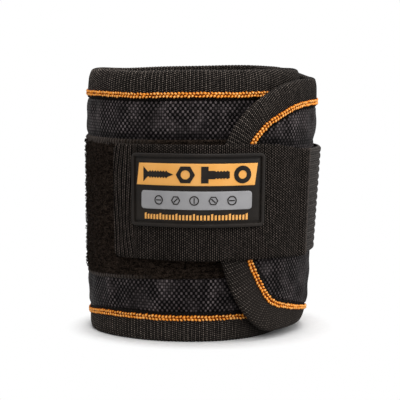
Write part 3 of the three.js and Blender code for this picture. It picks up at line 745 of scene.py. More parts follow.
size = add(tuftTree, "FunctionNodeRandomValue", {2: 0.65, 3: 1.9, "Seed": 3}, out=1, data_type="FLOAT")
tuft = add(tuftTree, "GeometryNodeObjectInfo", {"Object": given["Tuft"]}, out="Geometry")
laid = {"Points": scattered[0], "Instance": tuft, "Rotation": turned, "Scale": size}
endTree(tuftTree, add(tuftTree, "GeometryNodeInstanceOnPoints", laid), 9, given["Fibre"])


# Runs a tree on a path or face and keeps its result as a plain mesh under a new name
def grow(name, base, tree, values):
    modifier = base.modifiers.new("grow", "NODES")
    modifier.node_group = tree
    for item in tree.interface.items_tree:
        if item.in_out == "INPUT" and item.name in values:
            modifier[item.identifier] = values[item.name]
    graph = bpy.context.evaluated_depsgraph_get()
    grown = base.evaluated_get(graph)
    mesh = bpy.data.meshes.new_from_object(grown, preserve_all_data_layers=True, depsgraph=graph)
    base.modifiers.remove(modifier)
    bpy.data.objects.remove(base)
    mesh.name = name
    return placeInScene(name, mesh)


# A thin strand along points, with few sides: stitches, pile loops and hooks. depth says how far up a point
# is and paints shade low on the thread; crest is strong along the middle of the strand's back and paints
# its highlight.
def strand(name, points, radii, sides=6, flatten=1.0):
    points, radii = np.asarray(points, float), np.asarray(radii, float)
    tangent = np.gradient(points, axis=0)
    tangent /= np.linalg.norm(tangent, axis=1)[:, None]
    across = np.cross(tangent, (0, 0, 1.0))
    across[np.linalg.norm(across, axis=1) < 1e-3] = (0, 1, 0)
    across /= np.linalg.norm(across, axis=1)[:, None]
    up = np.cross(across, tangent)
    turns = np.linspace(0, 2 * math.pi, sides, endpoint=False)
    cosines, sines = np.cos(turns)[None, :, None], np.sin(turns)[None, :, None]
    ring = across[:, None] * cosines + up[:, None] * sines * flatten
    rings = (points[:, None] + radii[:, None, None] * ring) / 1000
    made = sweptMesh(name, rings, np.zeros(rings.shape[:2] + (2,)), orangeThread, sharpness=180, weld=False)
    x, y, z = rings.reshape(-1, 3).T
    depth = smooth(z, z.max() * 0.1, z.max() * 0.7)
    crest = np.exp(-((x / (0.5 * x.max())) ** 2)) * smooth(z, z.max() * 0.5, z.max() * 0.95)
    for attribute, values in (("depth", depth), ("crest", crest)):
        layer = made.data.attributes.new(attribute, "FLOAT", "POINT")
        layer.data.foreach_set("value", values.astype(np.float32))
    made.hide_render = True
    return made


chain = {
    "pitch": 1.2,
    "length": 1.22,
    "apart": 0.48,
    "wander": 0.1,
    "rise": 0.18,
    "slant": 0.6,
    "looseness": 0.32,
    "bedHalf": 0.78,
    "bedShares": (-1, -0.6, 0.6, 1, 0.6, -0.6),
    "bedRises": (-0.02, 0.16, 0.16, -0.02, -0.12, -0.12),
    "halfShares": (1, 0.7, 0.4),  # the stitch's ends and bends, as shares of half its length
    "rises": (-0.25, -0.08, 0.1),
    "radii": (0.14, 0.29, 0.36),
    "middleRise": 0.17,
    "middleRadius": 0.39,
}
bends = [(share * chain["length"] / 2, rise) for share, rise in zip(chain["halfShares"], chain["rises"])]
beadPoints = [(-x, 0, rise) for x, rise in bends] + [(0, 0, chain["middleRise"])]
beadPoints += [(x, 0, rise) for x, rise in bends[::-1]]
beadRadii = [*chain["radii"], chain["middleRadius"], *chain["radii"][::-1]]
chainStitch = strand("chainStitch", beadPoints, beadRadii, 8, 0.95)
lockPoints = [(-1, 0, -0.15), (-0.7, 0, 0.08), (0, 0, 0.14), (0.7, 0, 0.08), (1, 0, -0.15)]
lockStitch = strand("lockStitch", lockPoints, [0.1, 0.17, 0.2, 0.17, 0.1])


# A row of stitches through rows of points, each with the way out of the cloth and its side of the seam
def stitchRow(name, rows, stitch, kind, material, seed):
    points, outward, sides, edges = [], [], [], []
    for low, high, side in rows:
        first = len(points)
        points += low.tolist()
        outward += ((high - low) / np.linalg.norm(high - low, axis=1)[:, None]).tolist()
        sides += [side] * len(low)
        edges += [(i, i + 1) for i in range(first, len(points) - 1)]
    mesh = bpy.data.meshes.new(name + "Path")
    mesh.from_pydata(points, edges, [])
    normals = mesh.attributes.new("outward", "FLOAT_VECTOR", "POINT")
    normals.data.foreach_set("vector", np.asarray(outward, np.float32).ravel())
    layer = mesh.attributes.new("side", "FLOAT", "POINT")
    layer.data.foreach_set("value", np.asarray(sides, np.float32))
    values = {
        "Stitch": stitch,
        "Pitch": kind["pitch"] / 1000,
        "Slant": kind["slant"],
        "Looseness": kind["looseness"],
        "Seed": seed,
        "Thread": material,
    }
    return grow(name, placeInScene(name + "Path", mesh), stitchTree, values)


# Two lines of stitches side by side, one half a pitch behind the other, with a bed of thread
def chainRow(name, run, material, seed):
    rows = []
    middle = tape["stitchInset"]
    for side in (-1, 1):
        wander = np.sin(run["length"] * 1.7 + 3 * np.sin(run["length"] / 2.3 + side))[:, None]
        inset = middle + side * chain["apart"] + chain["wander"] * wander
        low, high = (alongRun(run, inset, np.array([chain["rise"] + up]))[:, 0] for up in (0, 1))
        skip = 0 if side < 0 else 2
        rows.append((low[skip:], high[skip:], side))
    row = stitchRow(name, rows, chainStitch, chain, material, seed)
    # The thread that lies under the beads: it has no depth or crest, so it takes the dark colour and fills
    # the gaps with painted shade
    bedInset = middle + chain["bedHalf"] * np.array(chain["bedShares"])
    bedPoints = alongRun(run, bedInset, np.array(chain["bedRises"]))
    bed = sweptMesh(name + "Bed", bedPoints, np.zeros(bedPoints.shape[:2] + (2,)), material, sharpness=180)
    joined = bmesh.new()
    joined.from_mesh(row.data)
    joined.from_mesh(bed.data)
    joined.to_mesh(row.data)
    joined.free()
    bpy.data.objects.remove(bed)
    return row


# Hides the solids a piece stands for and hangs it on the body that carries it. A carrier of two bodies with
# a bend between only has the piece's place baked in; the slot is not used.
def declare(piece, slot, carrier, *nodes):
    if nodes:
        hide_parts(*nodes)
    if isinstance(carrier, str):
        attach(piece, carrier)
    else:
        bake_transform(piece)


# Binding tape, folded over every edge
tape = {
    "thickness": 0.55,
    "reach": 9.9,
    "foldDepth": 3.35,
    "roundness": 0.8,
    "ribHeight": 0.08,
    "ribPair": 1.32,
    "stepsPerRib": 4,
    "stitchInset": 8.1,
    "hollowPoints": 11,
    "tuck": 1.2,
    "bow": 0.55,
    "bowReach": 3.4,
    "stationShares": np.array([0, 0.25, 0.5, 0.7, 0.82, 0.91, 1]),
    "startGap": 0.25,
    "endStitchInset": 7,
}


# The tape's section as inset and rise, the way its ribs stand out, and the length round it
def tapeSection():
    depth, reach, roundness = tape["foldDepth"], tape["reach"], tape["roundness"]
    stations = reach - 1 + (roundness - reach + 1) * tape["stationShares"]
    flatInset = np.concatenate([[reach, reach - 0.15], stations])
    bow = tape["bow"] * np.clip(1 - flatInset / tape["bowReach"], 0, 1) ** 2
    flatRise = np.concatenate([[-0.3, -0.06], np.zeros(7)]) - bow
    turn = np.linspace(0, math.pi, 11)[1:-1]
    foldInset = roundness * (1 - np.sin(turn))
    foldRise = -depth / 2 + (depth / 2 - bow[-1]) * np.cos(turn)
    inset = np.concatenate([flatInset, foldInset, flatInset[::-1]])
    rise = np.concatenate([flatRise, foldRise, -depth - flatRise[::-1]])
    outNormal = np.concatenate([np.tile([[0, 1.0]], (9, 1)), np.stack([-np.sin(turn), np.cos(turn)], 1)])
    outNormal = np.concatenate([outNormal, np.tile([[0, -1.0]], (9, 1))])
    share = np.ones(len(inset))
    share[[0, -1]] = 0
    wall = tape["thickness"]
    backTurn = np.linspace(math.pi, 0, 7)
    backInset = roundness + 0.1 - (roundness - 0.1) * 0.5 * np.sin(backTurn)
    backRise = -depth / 2 + (depth / 2 - wall - bow[-1]) * np.cos(backTurn)
    inset = np.concatenate([inset, [reach, reach - 1], backInset, [reach - 1, reach]])
    rise = np.concatenate([rise, [wall - depth, wall - depth], backRise, [-wall, -wall]])
    outNormal = np.concatenate([outNormal, np.zeros((len(inset) - len(outNormal), 2))])
    share = np.concatenate([share, np.zeros(len(inset) - len(share))])
    return inset, rise, outNormal * share[:, None], lengthSoFar(np.hypot(np.diff(inset), np.diff(rise)))


# Ribbed tape folded over the edge that a run follows
def bindingTape(name, run, closedEnds=False):
    inset, rise, stand, across = tapeSection()
    rib = tape["ribHeight"] * np.cos(2 * math.pi * run["length"] / tape["ribPair"])[:, None]
    insets, rises = inset + rib * stand[:, 0], rise + rib * stand[:, 1]
    if closedEnds:  # the tape is tucked in over itself, so its hollow stops short and its end is rounded
        toEnd = np.minimum(run["length"], run["length"][-1] - run["length"])[:, None]
        hollow = np.arange(len(inset)) >= len(inset) - tape["hollowPoints"]
        insets = np.where((toEnd < tape["tuck"]) & hollow, tape["reach"], insets)
        rounded = np.sqrt(1 - (1 - np.clip(toEnd / tape["tuck"] + 0.05, 0, 1)) ** 2)
        rises = -tape["foldDepth"] / 2 + (rises + tape["foldDepth"] / 2) * rounded
    points = alongRun(run, insets, rises)
    uv = np.stack(np.broadcast_arrays(run["length"][:, None] + grosgrain["rib"] / 2, across), -1)
    return sweptMesh(name, points, uv, tapeMaterial, sharpness=50)


ribStep = tape["ribPair"] / tape["stepsPerRib"]
fineStep = chain["pitch"] / 4
tapeStart = roll["innerEnd"] - math.degrees((tape["reach"] + tape["startGap"]) / roll["turnRadius"])
ringEnd = roll["sideSeam"] - 360
middleHeight = roll["width"] / 2
bendFrom, bendTo = (placed(bend, middleHeight, lapRadius) for bend in (roll["sideSeam"], lap["bendEnd"]))
acrossLapHinge = ("band", "lap", bendFrom, bendTo)

tapes = {
    "Top": (ringRun(roll["width"], -1, ribStep), "top", "band"),
    "Bottom": (ringRun(0, 1, ribStep), "bottom", "band"),
    "InnerEnd": (innerEndRun(0, roll["width"], ribStep), "inner_end", "band"),
    "Lap": (lapRun(ribStep), "lap", acrossLapHinge),
}
for place, (run, node, carrier) in tapes.items():
    piece = bindingTape("bindingTape" + place, run, closedEnds=place == "InnerEnd")
    declare(piece, "binding_tape", carrier, "binding_tape_" + node)

endInset = tape["endStitchInset"]
rows = {
    "Top": (ringRun(roll["width"], -1, fineStep), "top", "band", 1),
    "Bottom": (ringRun(0, 1, fineStep), "bottom", "band", 2),
    "InnerEnd": (innerEndRun(endInset, roll["width"] - endInset, fineStep), "inner_end", "band", 3),
    "Lap": (lapRun(fineStep), "lap", acrossLapHinge, 4),
}
for place, (run, node, carrier, seed) in rows.items():
    piece = chainRow("orangeChain" + place, run, orangeThread, seed)
    declare(piece, "orange_thread", carrier, "orange_stitching_" + node)
print("binding tape and chain stitching made")

# The padded band: cover, foam and lining in the ring and in the lap
pad = {
    "cover": 0.7,
    "lining": 0.8,
    "thickness": 4.4,
    "dip": 0.6,
    "swell": 1.85,
    "pinchStart": 9.7,
    "pinchEnd": 10.1,
    "edge": 1.7,
    "rows": (9.8, 10.1, 10.4, 10.7, 11, 11.4, 11.9, 12.5, 13.2, 14, 15),
    "crown": 0.34,
    "crownReach": 5,
    "fullRing": 24,  # how far from its edges the padding stands at its full height
    "fullLap": 22,
    "pucker": 0.14,
    "puckerEnd": (13, 19),
    "billow": 0.3,
    "billowReach": 3,
    "foam": 2.4,
    "foamInset": 12.2,
    "foamGap": 0.25,
    "foamRound": 0.35,
    "foamRoundReach": 1.6,
    "squeeze": (12, 30),
}
loop = {
    "low": 21.3,
    "high": 67.3,
    "start": 121,
    "end": -109,
    "thickness": 0.75,
    "gap": 0.25,
    "sag": 2,
    "sagSpan": (-80, 0),
    "fibreSag": 0.7,
    "heldBeside": 4,  # how far beside it the cover is still held down, in degrees
    "heldPast": 1.5,  # and how far above and below it
    "sunk": 0.22,  # how far its face lies under its loose fibres
    "lump": 0.3,
    "seam": 1.6,  # how far its stitched line is from its edge
    "seamHalf": 0.35,
    "seamDepth": 0.22,
    "edgeRound": 0.5,
    "edgeReach": 0.6,
    "bareBelow": 0.9,  # no loose fibre stands this near its edges
    "bareAbove": 1.5,
    "rooted": 0.3,
}
loop["height"] = loop["high"] - loop["low"]


# How far the rows of points near the bottom edge draw together where the tape there is narrow
def bottomSqueeze(angle, z):
    return 1 - (1 - bottomTapeShare(angle)) * (1 - smooth(z, *pad["squeeze"]))


# One in the seam and outside it, and nothing in the padding
def pinched(distance):
    return 1 - smooth(distance, pad["pinchStart"], pad["pinchEnd"] + 0.6)


# How far the padding stands out between its seams, with small puckers along them
def crown(u, z, distance, middle):
    start = pad["pinchStart"]
    swell = pad["crown"] * smooth(distance, start, start + pad["crownReach"])
    ripple = np.sin(u / 1.1 + 0.7 * np.sin(u / 5.3)) * 0.6 + np.sin(u / 1.9 + 2 + np.sin(u / 9)) * 0.8
    near = smooth(distance, start, pad["pinchEnd"] + 1) * (1 - smooth(distance, *pad["puckerEnd"]))
    fold = np.sin(u / 2.3 + z / 3.1 + np.sin(u / 9)) * np.sin(u / 4.1 - z / 2.6 + 1)
    billow = pad["billow"] * fold * smooth(distance, start, start + pad["billowReach"])
    return swell * middle + pad["pucker"] * ripple * near + billow


# The ring's cover: its radius, how far a point is from the edges and how far along the strip
def ringCover(angle, z):
    start, u = pad["pinchStart"], np.radians(angle) * bandRadius(angle)
    fromEnd = np.radians(roll["innerEnd"] - angle) * roll["turnRadius"]
    fromLow = z / bottomSqueeze(angle, z)
    distance = np.minimum(np.minimum(roll["width"] - z, fromLow), fromEnd)
    left, right, low, high = loop["end"], loop["start"], loop["low"], loop["high"]
    beside, past = loop["heldBeside"], loop["heldPast"]
    underLoop = smooth(angle, left - beside, left) * (1 - smooth(angle, right, right + beside))
    upper = np.sin(math.pi * np.clip((z - high) / (roll["width"] - start - high), 0, 1))
    lower = np.sin(math.pi * np.clip((low - z) / (low - start), 0, 1))
    strip = np.maximum(upper, 0) ** 0.7 + np.maximum(lower, 0) ** 0.7
    middle = underLoop * strip + (1 - underLoop) * smooth(distance, start, pad["fullRing"])
    held = smooth(z, low - past, low) * (1 - smooth(z, high, high + past))
    quiet = 1 - underLoop * held
    radius = bandRadius(angle) - pad["dip"] * pinched(distance)
    level, half, top = creases["level"], creases["half"], creases["top"]
    away = [(u - at - slope * (z - level)) / half for at, slope in creases["places"]]
    ridges = creases["height"] * np.sum(np.exp(-np.square(away)), axis=0)
    ridges = ridges * smooth(distance, start, start + creases["foot"])
    ridges = ridges * (1 - smooth(z, top - creases["fade"], top))
    return radius + crown(u, z, distance, middle) * quiet + ridges, distance, u


edgeInsets = np.concatenate([[pad["edge"], 4, 7, 9], pad["rows"]])
edgeEnd = edgeInsets[-1]


# Angles and heights for the ring, closer together along its edges
def ringGrid(zStep, angleStep):
    near = roll["innerEnd"] - np.degrees(np.linspace(pad["edge"], 16, 14) / roll["turnRadius"])
    far = np.linspace(near[-1], ringEnd, int(abs(ringEnd - near[-1]) / angleStep) + 1)
    middle = np.linspace(edgeEnd, roll["width"] - edgeEnd, int((roll["width"] - 2 * edgeEnd) / zStep) + 1)
    z = np.concatenate([edgeInsets[:-1], middle, (roll["width"] - edgeInsets[:-1])[::-1]])
    angle, z = grid(np.concatenate([near[:-1], far]), z)
    return angle, z * bottomSqueeze(angle, z)


# The cover and the lining of the ring or the lap, both declared
def coverAndLining(part, angle, z, u, outer, base, distance, carrier, nodes):
    cover = sheetMesh(part + "Cover", angle, z, outer, outer - pad["cover"], u, nylonMaterial)
    inner = base - pad["thickness"] + pad["swell"] * pinched(distance)
    lining = sheetMesh(part + "Lining", angle, z, inner + pad["lining"], inner, u, meshMaterial)
    for piece, slot, node in zip((cover, lining), ("ballistic_nylon", "air_mesh"), nodes):
        declare(piece, slot, carrier, node)


# The foam between them, rounded at its edges
def foamSheet(name, angle, z, base, fromEdge, carrier, node, cells=None):
    rounding = pad["foamRound"] * (1 - smooth(fromEdge, 0, pad["foamRoundReach"]))
    outer = base - pad["cover"] - pad["foamGap"]
    inner = outer - pad["foam"] + rounding
    u = np.radians(angle) * base
    foam = sheetMesh(name, angle, z, outer - rounding, inner, u, foamMaterial, cells=cells)
    declare(foam, "foam", carrier, node)


angle, z = ringGrid(1.2, 1.6)
outer, distance, u = ringCover(angle, z)
nodes = ("outer_cover", "mesh_lining")
coverAndLining("band", angle, z, u, outer, bandRadius(angle), distance, "band", nodes)

# Foam with a window for each magnet
magnets = {
    "columns": (-9, -42, -75, -108, -141),
    "rows": (23.2, 66.8),
    "width": 10,
    "height": 20,
    "clearance": 0.5,
    "radius": 35.3,
}
halfWide = np.degrees((magnets["width"] / 2 + magnets["clearance"]) / magnets["radius"])
halfTall = magnets["height"] / 2 + magnets["clearance"]
foamStart = roll["innerEnd"] - math.degrees(pad["foamInset"] / roll["turnRadius"])
angles = set(np.round(np.linspace(foamStart, ringEnd, 150), 3))
angles |= {column + side * halfWide for column in magnets["columns"] for side in (-1, 1)}
heights = set(np.round(np.linspace(pad["foamInset"], roll["width"] - pad["foamInset"], 34), 3))
heights |= {row + side * halfTall for row in magnets["rows"] for side in (-1, 1)}
angle, z = grid(sorted(angles, reverse=True), sorted(heights))
middleAngle, middleZ = ((values[:-1, :-1] + values[1:, 1:]) / 2 for values in (angle, z))
cells = np.ones(middleAngle.shape, bool)
for column in magnets["columns"]:
    for row in magnets["rows"]:
        cells &= ~((np.abs(middleAngle - column) < halfWide) & (np.abs(middleZ - row) < halfTall))
fromEdge = np.minimum(z, roll["width"] - z) - pad["foamInset"]
fromEdge = np.minimum(fromEdge, np.radians(foamStart - angle) * roll["turnRadius"])
foamSheet("bandFoam", angle, z, bandRadius(angle), fromEdge, "band", "foam_padding", cells)


# A lap sheet from rings of insets that meet at the tip, with the inside filled by even steps
def lapGrid(insets, between):
    share = (1 - np.sin(np.linspace(0, math.pi / 2, 44))) ** 1.35
    turning = lap["upper"]["length"]
    s = np.concatenate([np.linspace(lapFarLength, turning, 40)[:-1], turning * share])
    sides = {}
    for side, sign in (("upper", 1), ("lower", -1)):
        near = np.maximum(s / 1000, 1e-9)
        rise = lapEdgeHeight(s + near, side) - lapEdgeHeight(s - near, side)
        slant = np.hypot(rise, 2 * near)
        along, up = sign * rise / slant, -sign * 2 * near / slant
        along[-1], up[-1] = 1, 0
        height = lapEdgeHeight(s, side)
        wide = tapeWidth(s, side)[:, None]
        inwards = wide * insets
        sides[side] = (s[:, None] + along[:, None] * inwards, height[:, None] + up[:, None] * inwards)
    t = np.linspace(0, 1, between + 2)[1:-1]
    (us, uz), (ls, lz) = sides["upper"], sides["lower"]
    midS = us[:, -1:] * (1 - t) + ls[:, -1:] * t
    midZ = uz[:, -1:] * (1 - t) + lz[:, -1:] * t
    span = np.hypot(us[:, -1:] - ls[:, -1:], uz[:, -1:] - lz[:, -1:])
    midInset = insets[-1] + span * np.minimum(t, 1 - t)
    fromTip = np.concatenate([us, midS, ls[:, ::-1]], 1)
    z = np.concatenate([uz, midZ, lz[:, ::-1]], 1)
    inset = np.concatenate([np.tile(insets, (len(s), 1)), midInset, np.tile(insets[::-1], (len(s), 1))], 1)
    return lapAngle(fromTip), z, inset


# The strap holds the lap's cover down, in these spans of height, angle and distance from the edge
strapBed = {
    "low": (25, 29),
    "high": (65, 69),
    "side": (118, 124),
    "grooveSide": (116, 124),
    "grooveSeam": (11, 13),
}
angle, z, distance = lapGrid(edgeInsets, 46)
u = np.radians(angle) * lapRadius
outer = lapRadius - pad["dip"] * pinched(distance)
outer = outer + crown(u, z, distance, smooth(distance, pad["pinchStart"], pad["fullLap"]))
underStrap = smooth(z, *strapBed["low"]) * (1 - smooth(z, *strapBed["high"]))
underStrap = underStrap * (1 - smooth(angle, *strapBed["side"]))
outer = outer - underStrap * np.maximum(0, outer - lapRadius)
groove = pressed["depth"] * np.exp(-(((z - pressed["onLap"]) / pressed["half"]) ** 2))
groove = groove * (1 - smooth(angle, *strapBed["grooveSide"]))
outer = outer - groove * smooth(distance, *strapBed["grooveSeam"])
nodes = ("lap_cover", "lap_lining")
coverAndLining("lap", angle, z, u, outer, lapRadius, distance, acrossLapHinge, nodes)
angle, z, distance = lapGrid(np.linspace(pad["foamInset"], edgeEnd, 6), 24)
foamSheet("lapFoam", angle, z, lapRadius, distance - pad["foamInset"], acrossLapHinge, "lap_foam")
print("padded band made")


# The loop patch was sewn on a little askew, so its lower edge sinks at the left
def loopSag(angle):
    return loop["sag"] * (1 - smooth(angle, *loop["sagSpan"]))


# A plain grid of faces that Geometry Nodes grow on, facing into the roll or out of it
def groundMesh(name, points, outwards):
    at = np.arange(points.shape[0] * points.shape[1]).reshape(points.shape[:2])
    quads = np.stack([at[:-1, :-1], at[1:, :-1], at[1:, 1:], at[:-1, 1:]], -1).reshape(-1, 4)
    if outwards:
        quads = quads[:, [0, 3, 2, 1]]
    mesh = bpy.data.meshes.new(name)
    mesh.from_pydata(points.reshape(-1, 3).tolist(), [], quads.tolist())
    return placeInScene(name, mesh)


tufts = {"spacing": 0.0009, "density": 900000.0}  # in metres, and to a square metre


def tuftField(name, ground, tuft, lean, seed, material):
    values = {
        "Tuft": tuft,
        "Spacing": tufts["spacing"],
        "Density": tufts["density"],
        "Lean": lean,
        "Seed": seed,
        "Fibre": material,
    }
    return grow(name, ground, tuftTree, values)


# Loop patch: a felted sheet with stitched selvedges and loose fibres standing off it
full = loop["height"]
across = np.concatenate([[0, 0.15, 0.5], np.linspace(1, full - 1, 64), [full - 0.5, full - 0.15, full]])
angle, across = grid(np.linspace(loop["start"], loop["end"], 260), across)
z = loop["low"] + across - loopSag(angle) * (1 - across / full)
u = np.radians(angle) * roll["turnRadius"]
distance = np.minimum(across, full - across)
lump = np.sin(u / 1.7 + 1.3 * np.sin(z / 2.3)) * np.sin(z / 1.9 + 1.1 * np.sin(u / 3.1))
lump = 0.5 * lump + 0.5 * np.sin(u / 0.83 + 2 * np.sin(z / 1.1)) * np.sin(z / 0.9 + 1)
seam = loop["seamDepth"] * np.exp(-(((distance - loop["seam"]) / loop["seamHalf"]) ** 2))
edgeRound = loop["edgeRound"] * (1 - smooth(distance, 0, loop["edgeReach"])) + seam
lump = loop["lump"] * lump * smooth(distance, loop["seam"], 3)
thick = loop["thickness"] - loop["sunk"] + lump - edgeRound
inner = bandRadius(angle) + loop["gap"]
v = loop["low"] + across
loopPatch = sheetMesh("loopPatch", angle, z, inner + thick, inner, u, pileMaterial, v=v, sharpness=60)
declare(loopPatch, "loop_pile", "band", "loop_patch")
angle, share = grid(np.linspace(loop["start"] - 1, loop["end"] + 1, 90), np.linspace(0, 1, 24))
lowest = loop["low"] + loop["bareBelow"] - loop["fibreSag"] * loopSag(angle)
z = lowest + (loop["high"] - loop["bareAbove"] - lowest) * share
face = placed(angle, z, bandRadius(angle) + loop["gap"] + loop["thickness"] - loop["rooted"])
curl = [(-0.3, 0, -0.1), (-0.32, 0.05, 0.16), (-0.1, 0.12, 0.36)]
curl += [(0.16, 0.05, 0.34), (0.3, -0.08, 0.12), (0.22, -0.12, -0.1)]
pileLoop = strand("pileLoop", curl, [0.07, 0.08, 0.08, 0.08, 0.08, 0.07], 4)
pileGround = groundMesh("pileGround", face, outwards=True)
pileLoops = tuftField("loopPileFibres", pileGround, pileLoop, 0.7, 11, pileMaterial)
pileLoops.data.shade_smooth()
declare(pileLoops, "loop_pile", "band")
print("loop patch made:", len(pileLoops.data.polygons), "fibre faces")

# Strap webbing with its label end folded under, and the elastic that joins it to the lap
strap = {
    "middle": 47,
    "width": 38,
    "thickness": 1.2,
    "rib": 1.38,
    "ribHeight": 0.07,
    "hemRib": 1.6,
    "hemRibHeight": 0.13,
    "hemLength": 9,
    "corner": 2.5,
    "tabEnd": -42,
    "end": 63.5,
    "onHook": 39.3,
    "climb": (-30, 12),  # where it leaves the loop patch for the lap
    "onLap": 43.6,
    "onElastic": 44.65,
    "narrow": 36.3,
    "drop": 1.5,
    "drawn": (30, 60),  # the angles between which it narrows and drops
    "selvedgeWave": 0.07,
    "edgeRound": 0.45,
    "edgeReach": 0.5,
    "thinBy": 0.6,
    "thinLength": 3.5,  # its right end is sewn down flat over this length
    "hemBow": 1.3,
    "hemWander": 0.4,
    "bends": (39.5, 29),
    "bendRadius": 44,
}
elastic = {
    "width": 35.8,
    "thickness": 0.95,
    "rib": 0.42,
    "ribs": 15,
    "perRib": 8,
    "start": 58.5,
    "ramp": 5,
    "hinge": 118,
    "end": 129,
    "gap": 0.25,
    "standOff": 0.9,
    "boxStart": 120.5,
    "boxEnd": 127.5,
    "boxInset": 3,
    "edgeRound": 0.4,
    "edgeReach": 0.25,
    "bends": (121, 106),
}
lock = {"pitch": 2.3, "slant": 0.0, "looseness": 0.06}
strapSeam = {"angle": 60.6, "low": 30.2, "length": 32, "depthShare": 0.72}


# How far out the strap lies, as it climbs from the loop patch to the lap and then to the elastic
def webbingRadius(angle):
    onLap = strap["onHook"] + (strap["onLap"] - strap["onHook"]) * smooth(angle, *strap["climb"])
    onElastic = smooth(angle, elastic["start"] - elastic["ramp"], elastic["start"])
    return onLap + (strap["onElastic"] - strap["onLap"]) * onElastic


angles = np.linspace(strap["tabEnd"], strap["end"], 8001)
length = lengthSoFar(np.radians(np.diff(angles)) * webbingRadius(angles[1:]))
whole = length[-1]
even = np.linspace(0.18, whole - 0.18, int(whole * 6 / strap["rib"]))
even = np.concatenate([[0, 0.06], even, [whole - 0.06, whole]])
across = np.concatenate([[0, 0.012], np.linspace(0.03, 0.97, 42), [0.988, 1]])
angle, share = grid(np.interp(even, length, angles), across)
u = grid(even, across)[0]
drawn = smooth(angle, *strap["drawn"])
width = strap["width"] + (strap["narrow"] - strap["width"]) * drawn
middle = strap["middle"] - strap["drop"] * drawn
toCorner = np.minimum(u, strap["corner"])
cut = strap["corner"] - np.sqrt(strap["corner"] ** 2 - (strap["corner"] - toCorner) ** 2)
selvedge = strap["selvedgeWave"] * np.cos(2 * math.pi * u / strap["rib"])
low, high = middle - width / 2 + cut - selvedge, middle + width / 2 - cut + selvedge
z = low + (high - low) * share
hem = 1 - smooth(u, strap["hemLength"] - 1, strap["hemLength"] + 1)
bend = strap["hemBow"] * ((z - middle) / (strap["width"] / 2)) ** 2
bend = bend + strap["hemWander"] * np.sin(z / 5) * np.sin(u / 2.1 + 1)
ribs = (1 - hem) * strap["ribHeight"] * np.cos(2 * math.pi * u / strap["rib"])
ribs = ribs + hem * strap["hemRibHeight"] * np.cos(2 * math.pi * (u - bend) / strap["hemRib"])
fromEdge = np.minimum(np.minimum(z - low, high - z), np.minimum(u, whole - u))
steep = 1 - np.clip(fromEdge / strap["edgeReach"], 0, 1)
rounded = strap["edgeRound"] * (1 - np.sqrt(1 - steep**2))
inner = webbingRadius(angle)
thin = 1 - strap["thinBy"] * smooth(u, whole - strap["thinLength"], whole)
outer = inner + (strap["thickness"] + ribs - rounded) * thin
inner = inner + rounded * 0.5
clothU = (1 - hem) * u + hem * (u - bend) * strap["rib"] / strap["hemRib"]
strapWebbing = sheetMesh("strapWebbing", angle, z, outer, inner, clothU, strapMaterial, sharpness=70)
bendFrom, bendTo = (placed(bend, strap["middle"], strap["bendRadius"]) for bend in strap["bends"])
declare(strapWebbing, "strap_webbing", ("strap", "tab", bendFrom, bendTo), "webbing_tab", "webbing_strap")

line = np.linspace(0, elastic["ribs"], elastic["ribs"] * elastic["perRib"] + 1)
angle, line = grid(np.linspace(elastic["start"], elastic["end"], 110), line)
elasticTop = strap["middle"] - strap["drop"] + elastic["width"] / 2
z = elasticTop - line * elastic["width"] / elastic["ribs"]
along = np.clip((angle - strap["end"]) / (elastic["hinge"] - strap["end"]), 0, 1)
onLap = lapRadius + elastic["gap"]
inner = onLap + elastic["standOff"] * np.sin(math.pi * along) * (1 - line / elastic["ribs"])
ridge = np.abs(np.sin(math.pi * line)) ** 0.7
toSide = np.minimum(line, elastic["ribs"] - line)
edge = elastic["edgeRound"] * (1 - smooth(toSide, 0, elastic["edgeReach"]))
outer = inner + elastic["thickness"] + elastic["rib"] * ridge - edge
u = np.radians(angle) * lapRadius
elasticStrap = sheetMesh("elasticStrap", angle, z, outer, inner, u, elasticMaterial, sharpness=70)
bendFrom, bendTo = (placed(bend, strap["middle"], strap["onLap"]) for bend in elastic["bends"])
acrossStrapHinge = ("lap", "strap", bendFrom, bendTo)
declare(elasticStrap, "elastic_webbing", acrossStrapHinge, "elastic_strap", "elastic_sewn_end")


# Lock stitches through a surface given by angle, height and radius
def lockRow(name, angle, z, radius, seed):
    low, high = placed(angle, z, radius), placed(angle, z, radius + 1)
    return stitchRow(name, [(low, high, 0)], lockStitch, lock, blackThread, seed)


near, far = elastic["boxStart"], elastic["boxEnd"]
top = elasticTop - elastic["boxInset"]
low = elasticTop - elastic["width"] + elastic["boxInset"]
onRibs = onLap + elastic["thickness"] + elastic["rib"]
corners = [(near, top), (far, top), (far, low), (near, low)]
corners += [(near, top), (far, low), (far, top), (near, low)]
t = np.linspace(0, len(corners) - 1, 400)
angle, z = (np.interp(t, range(len(corners)), values) for values in zip(*corners))
boxStitch = lockRow("boxStitchLap", angle, z, onRibs, 21)
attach(boxStitch, "lap")
onWebbing = strap["onElastic"] + strapSeam["depthShare"] * strap["thickness"]
z = strapSeam["low"] + strapSeam["length"] * np.linspace(0, 1, 120)
seamStitch = lockRow("seamStitchStrap", strapSeam["angle"], z, onWebbing, 22)
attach(seamStitch, "strap")
print("strap and elastic made")

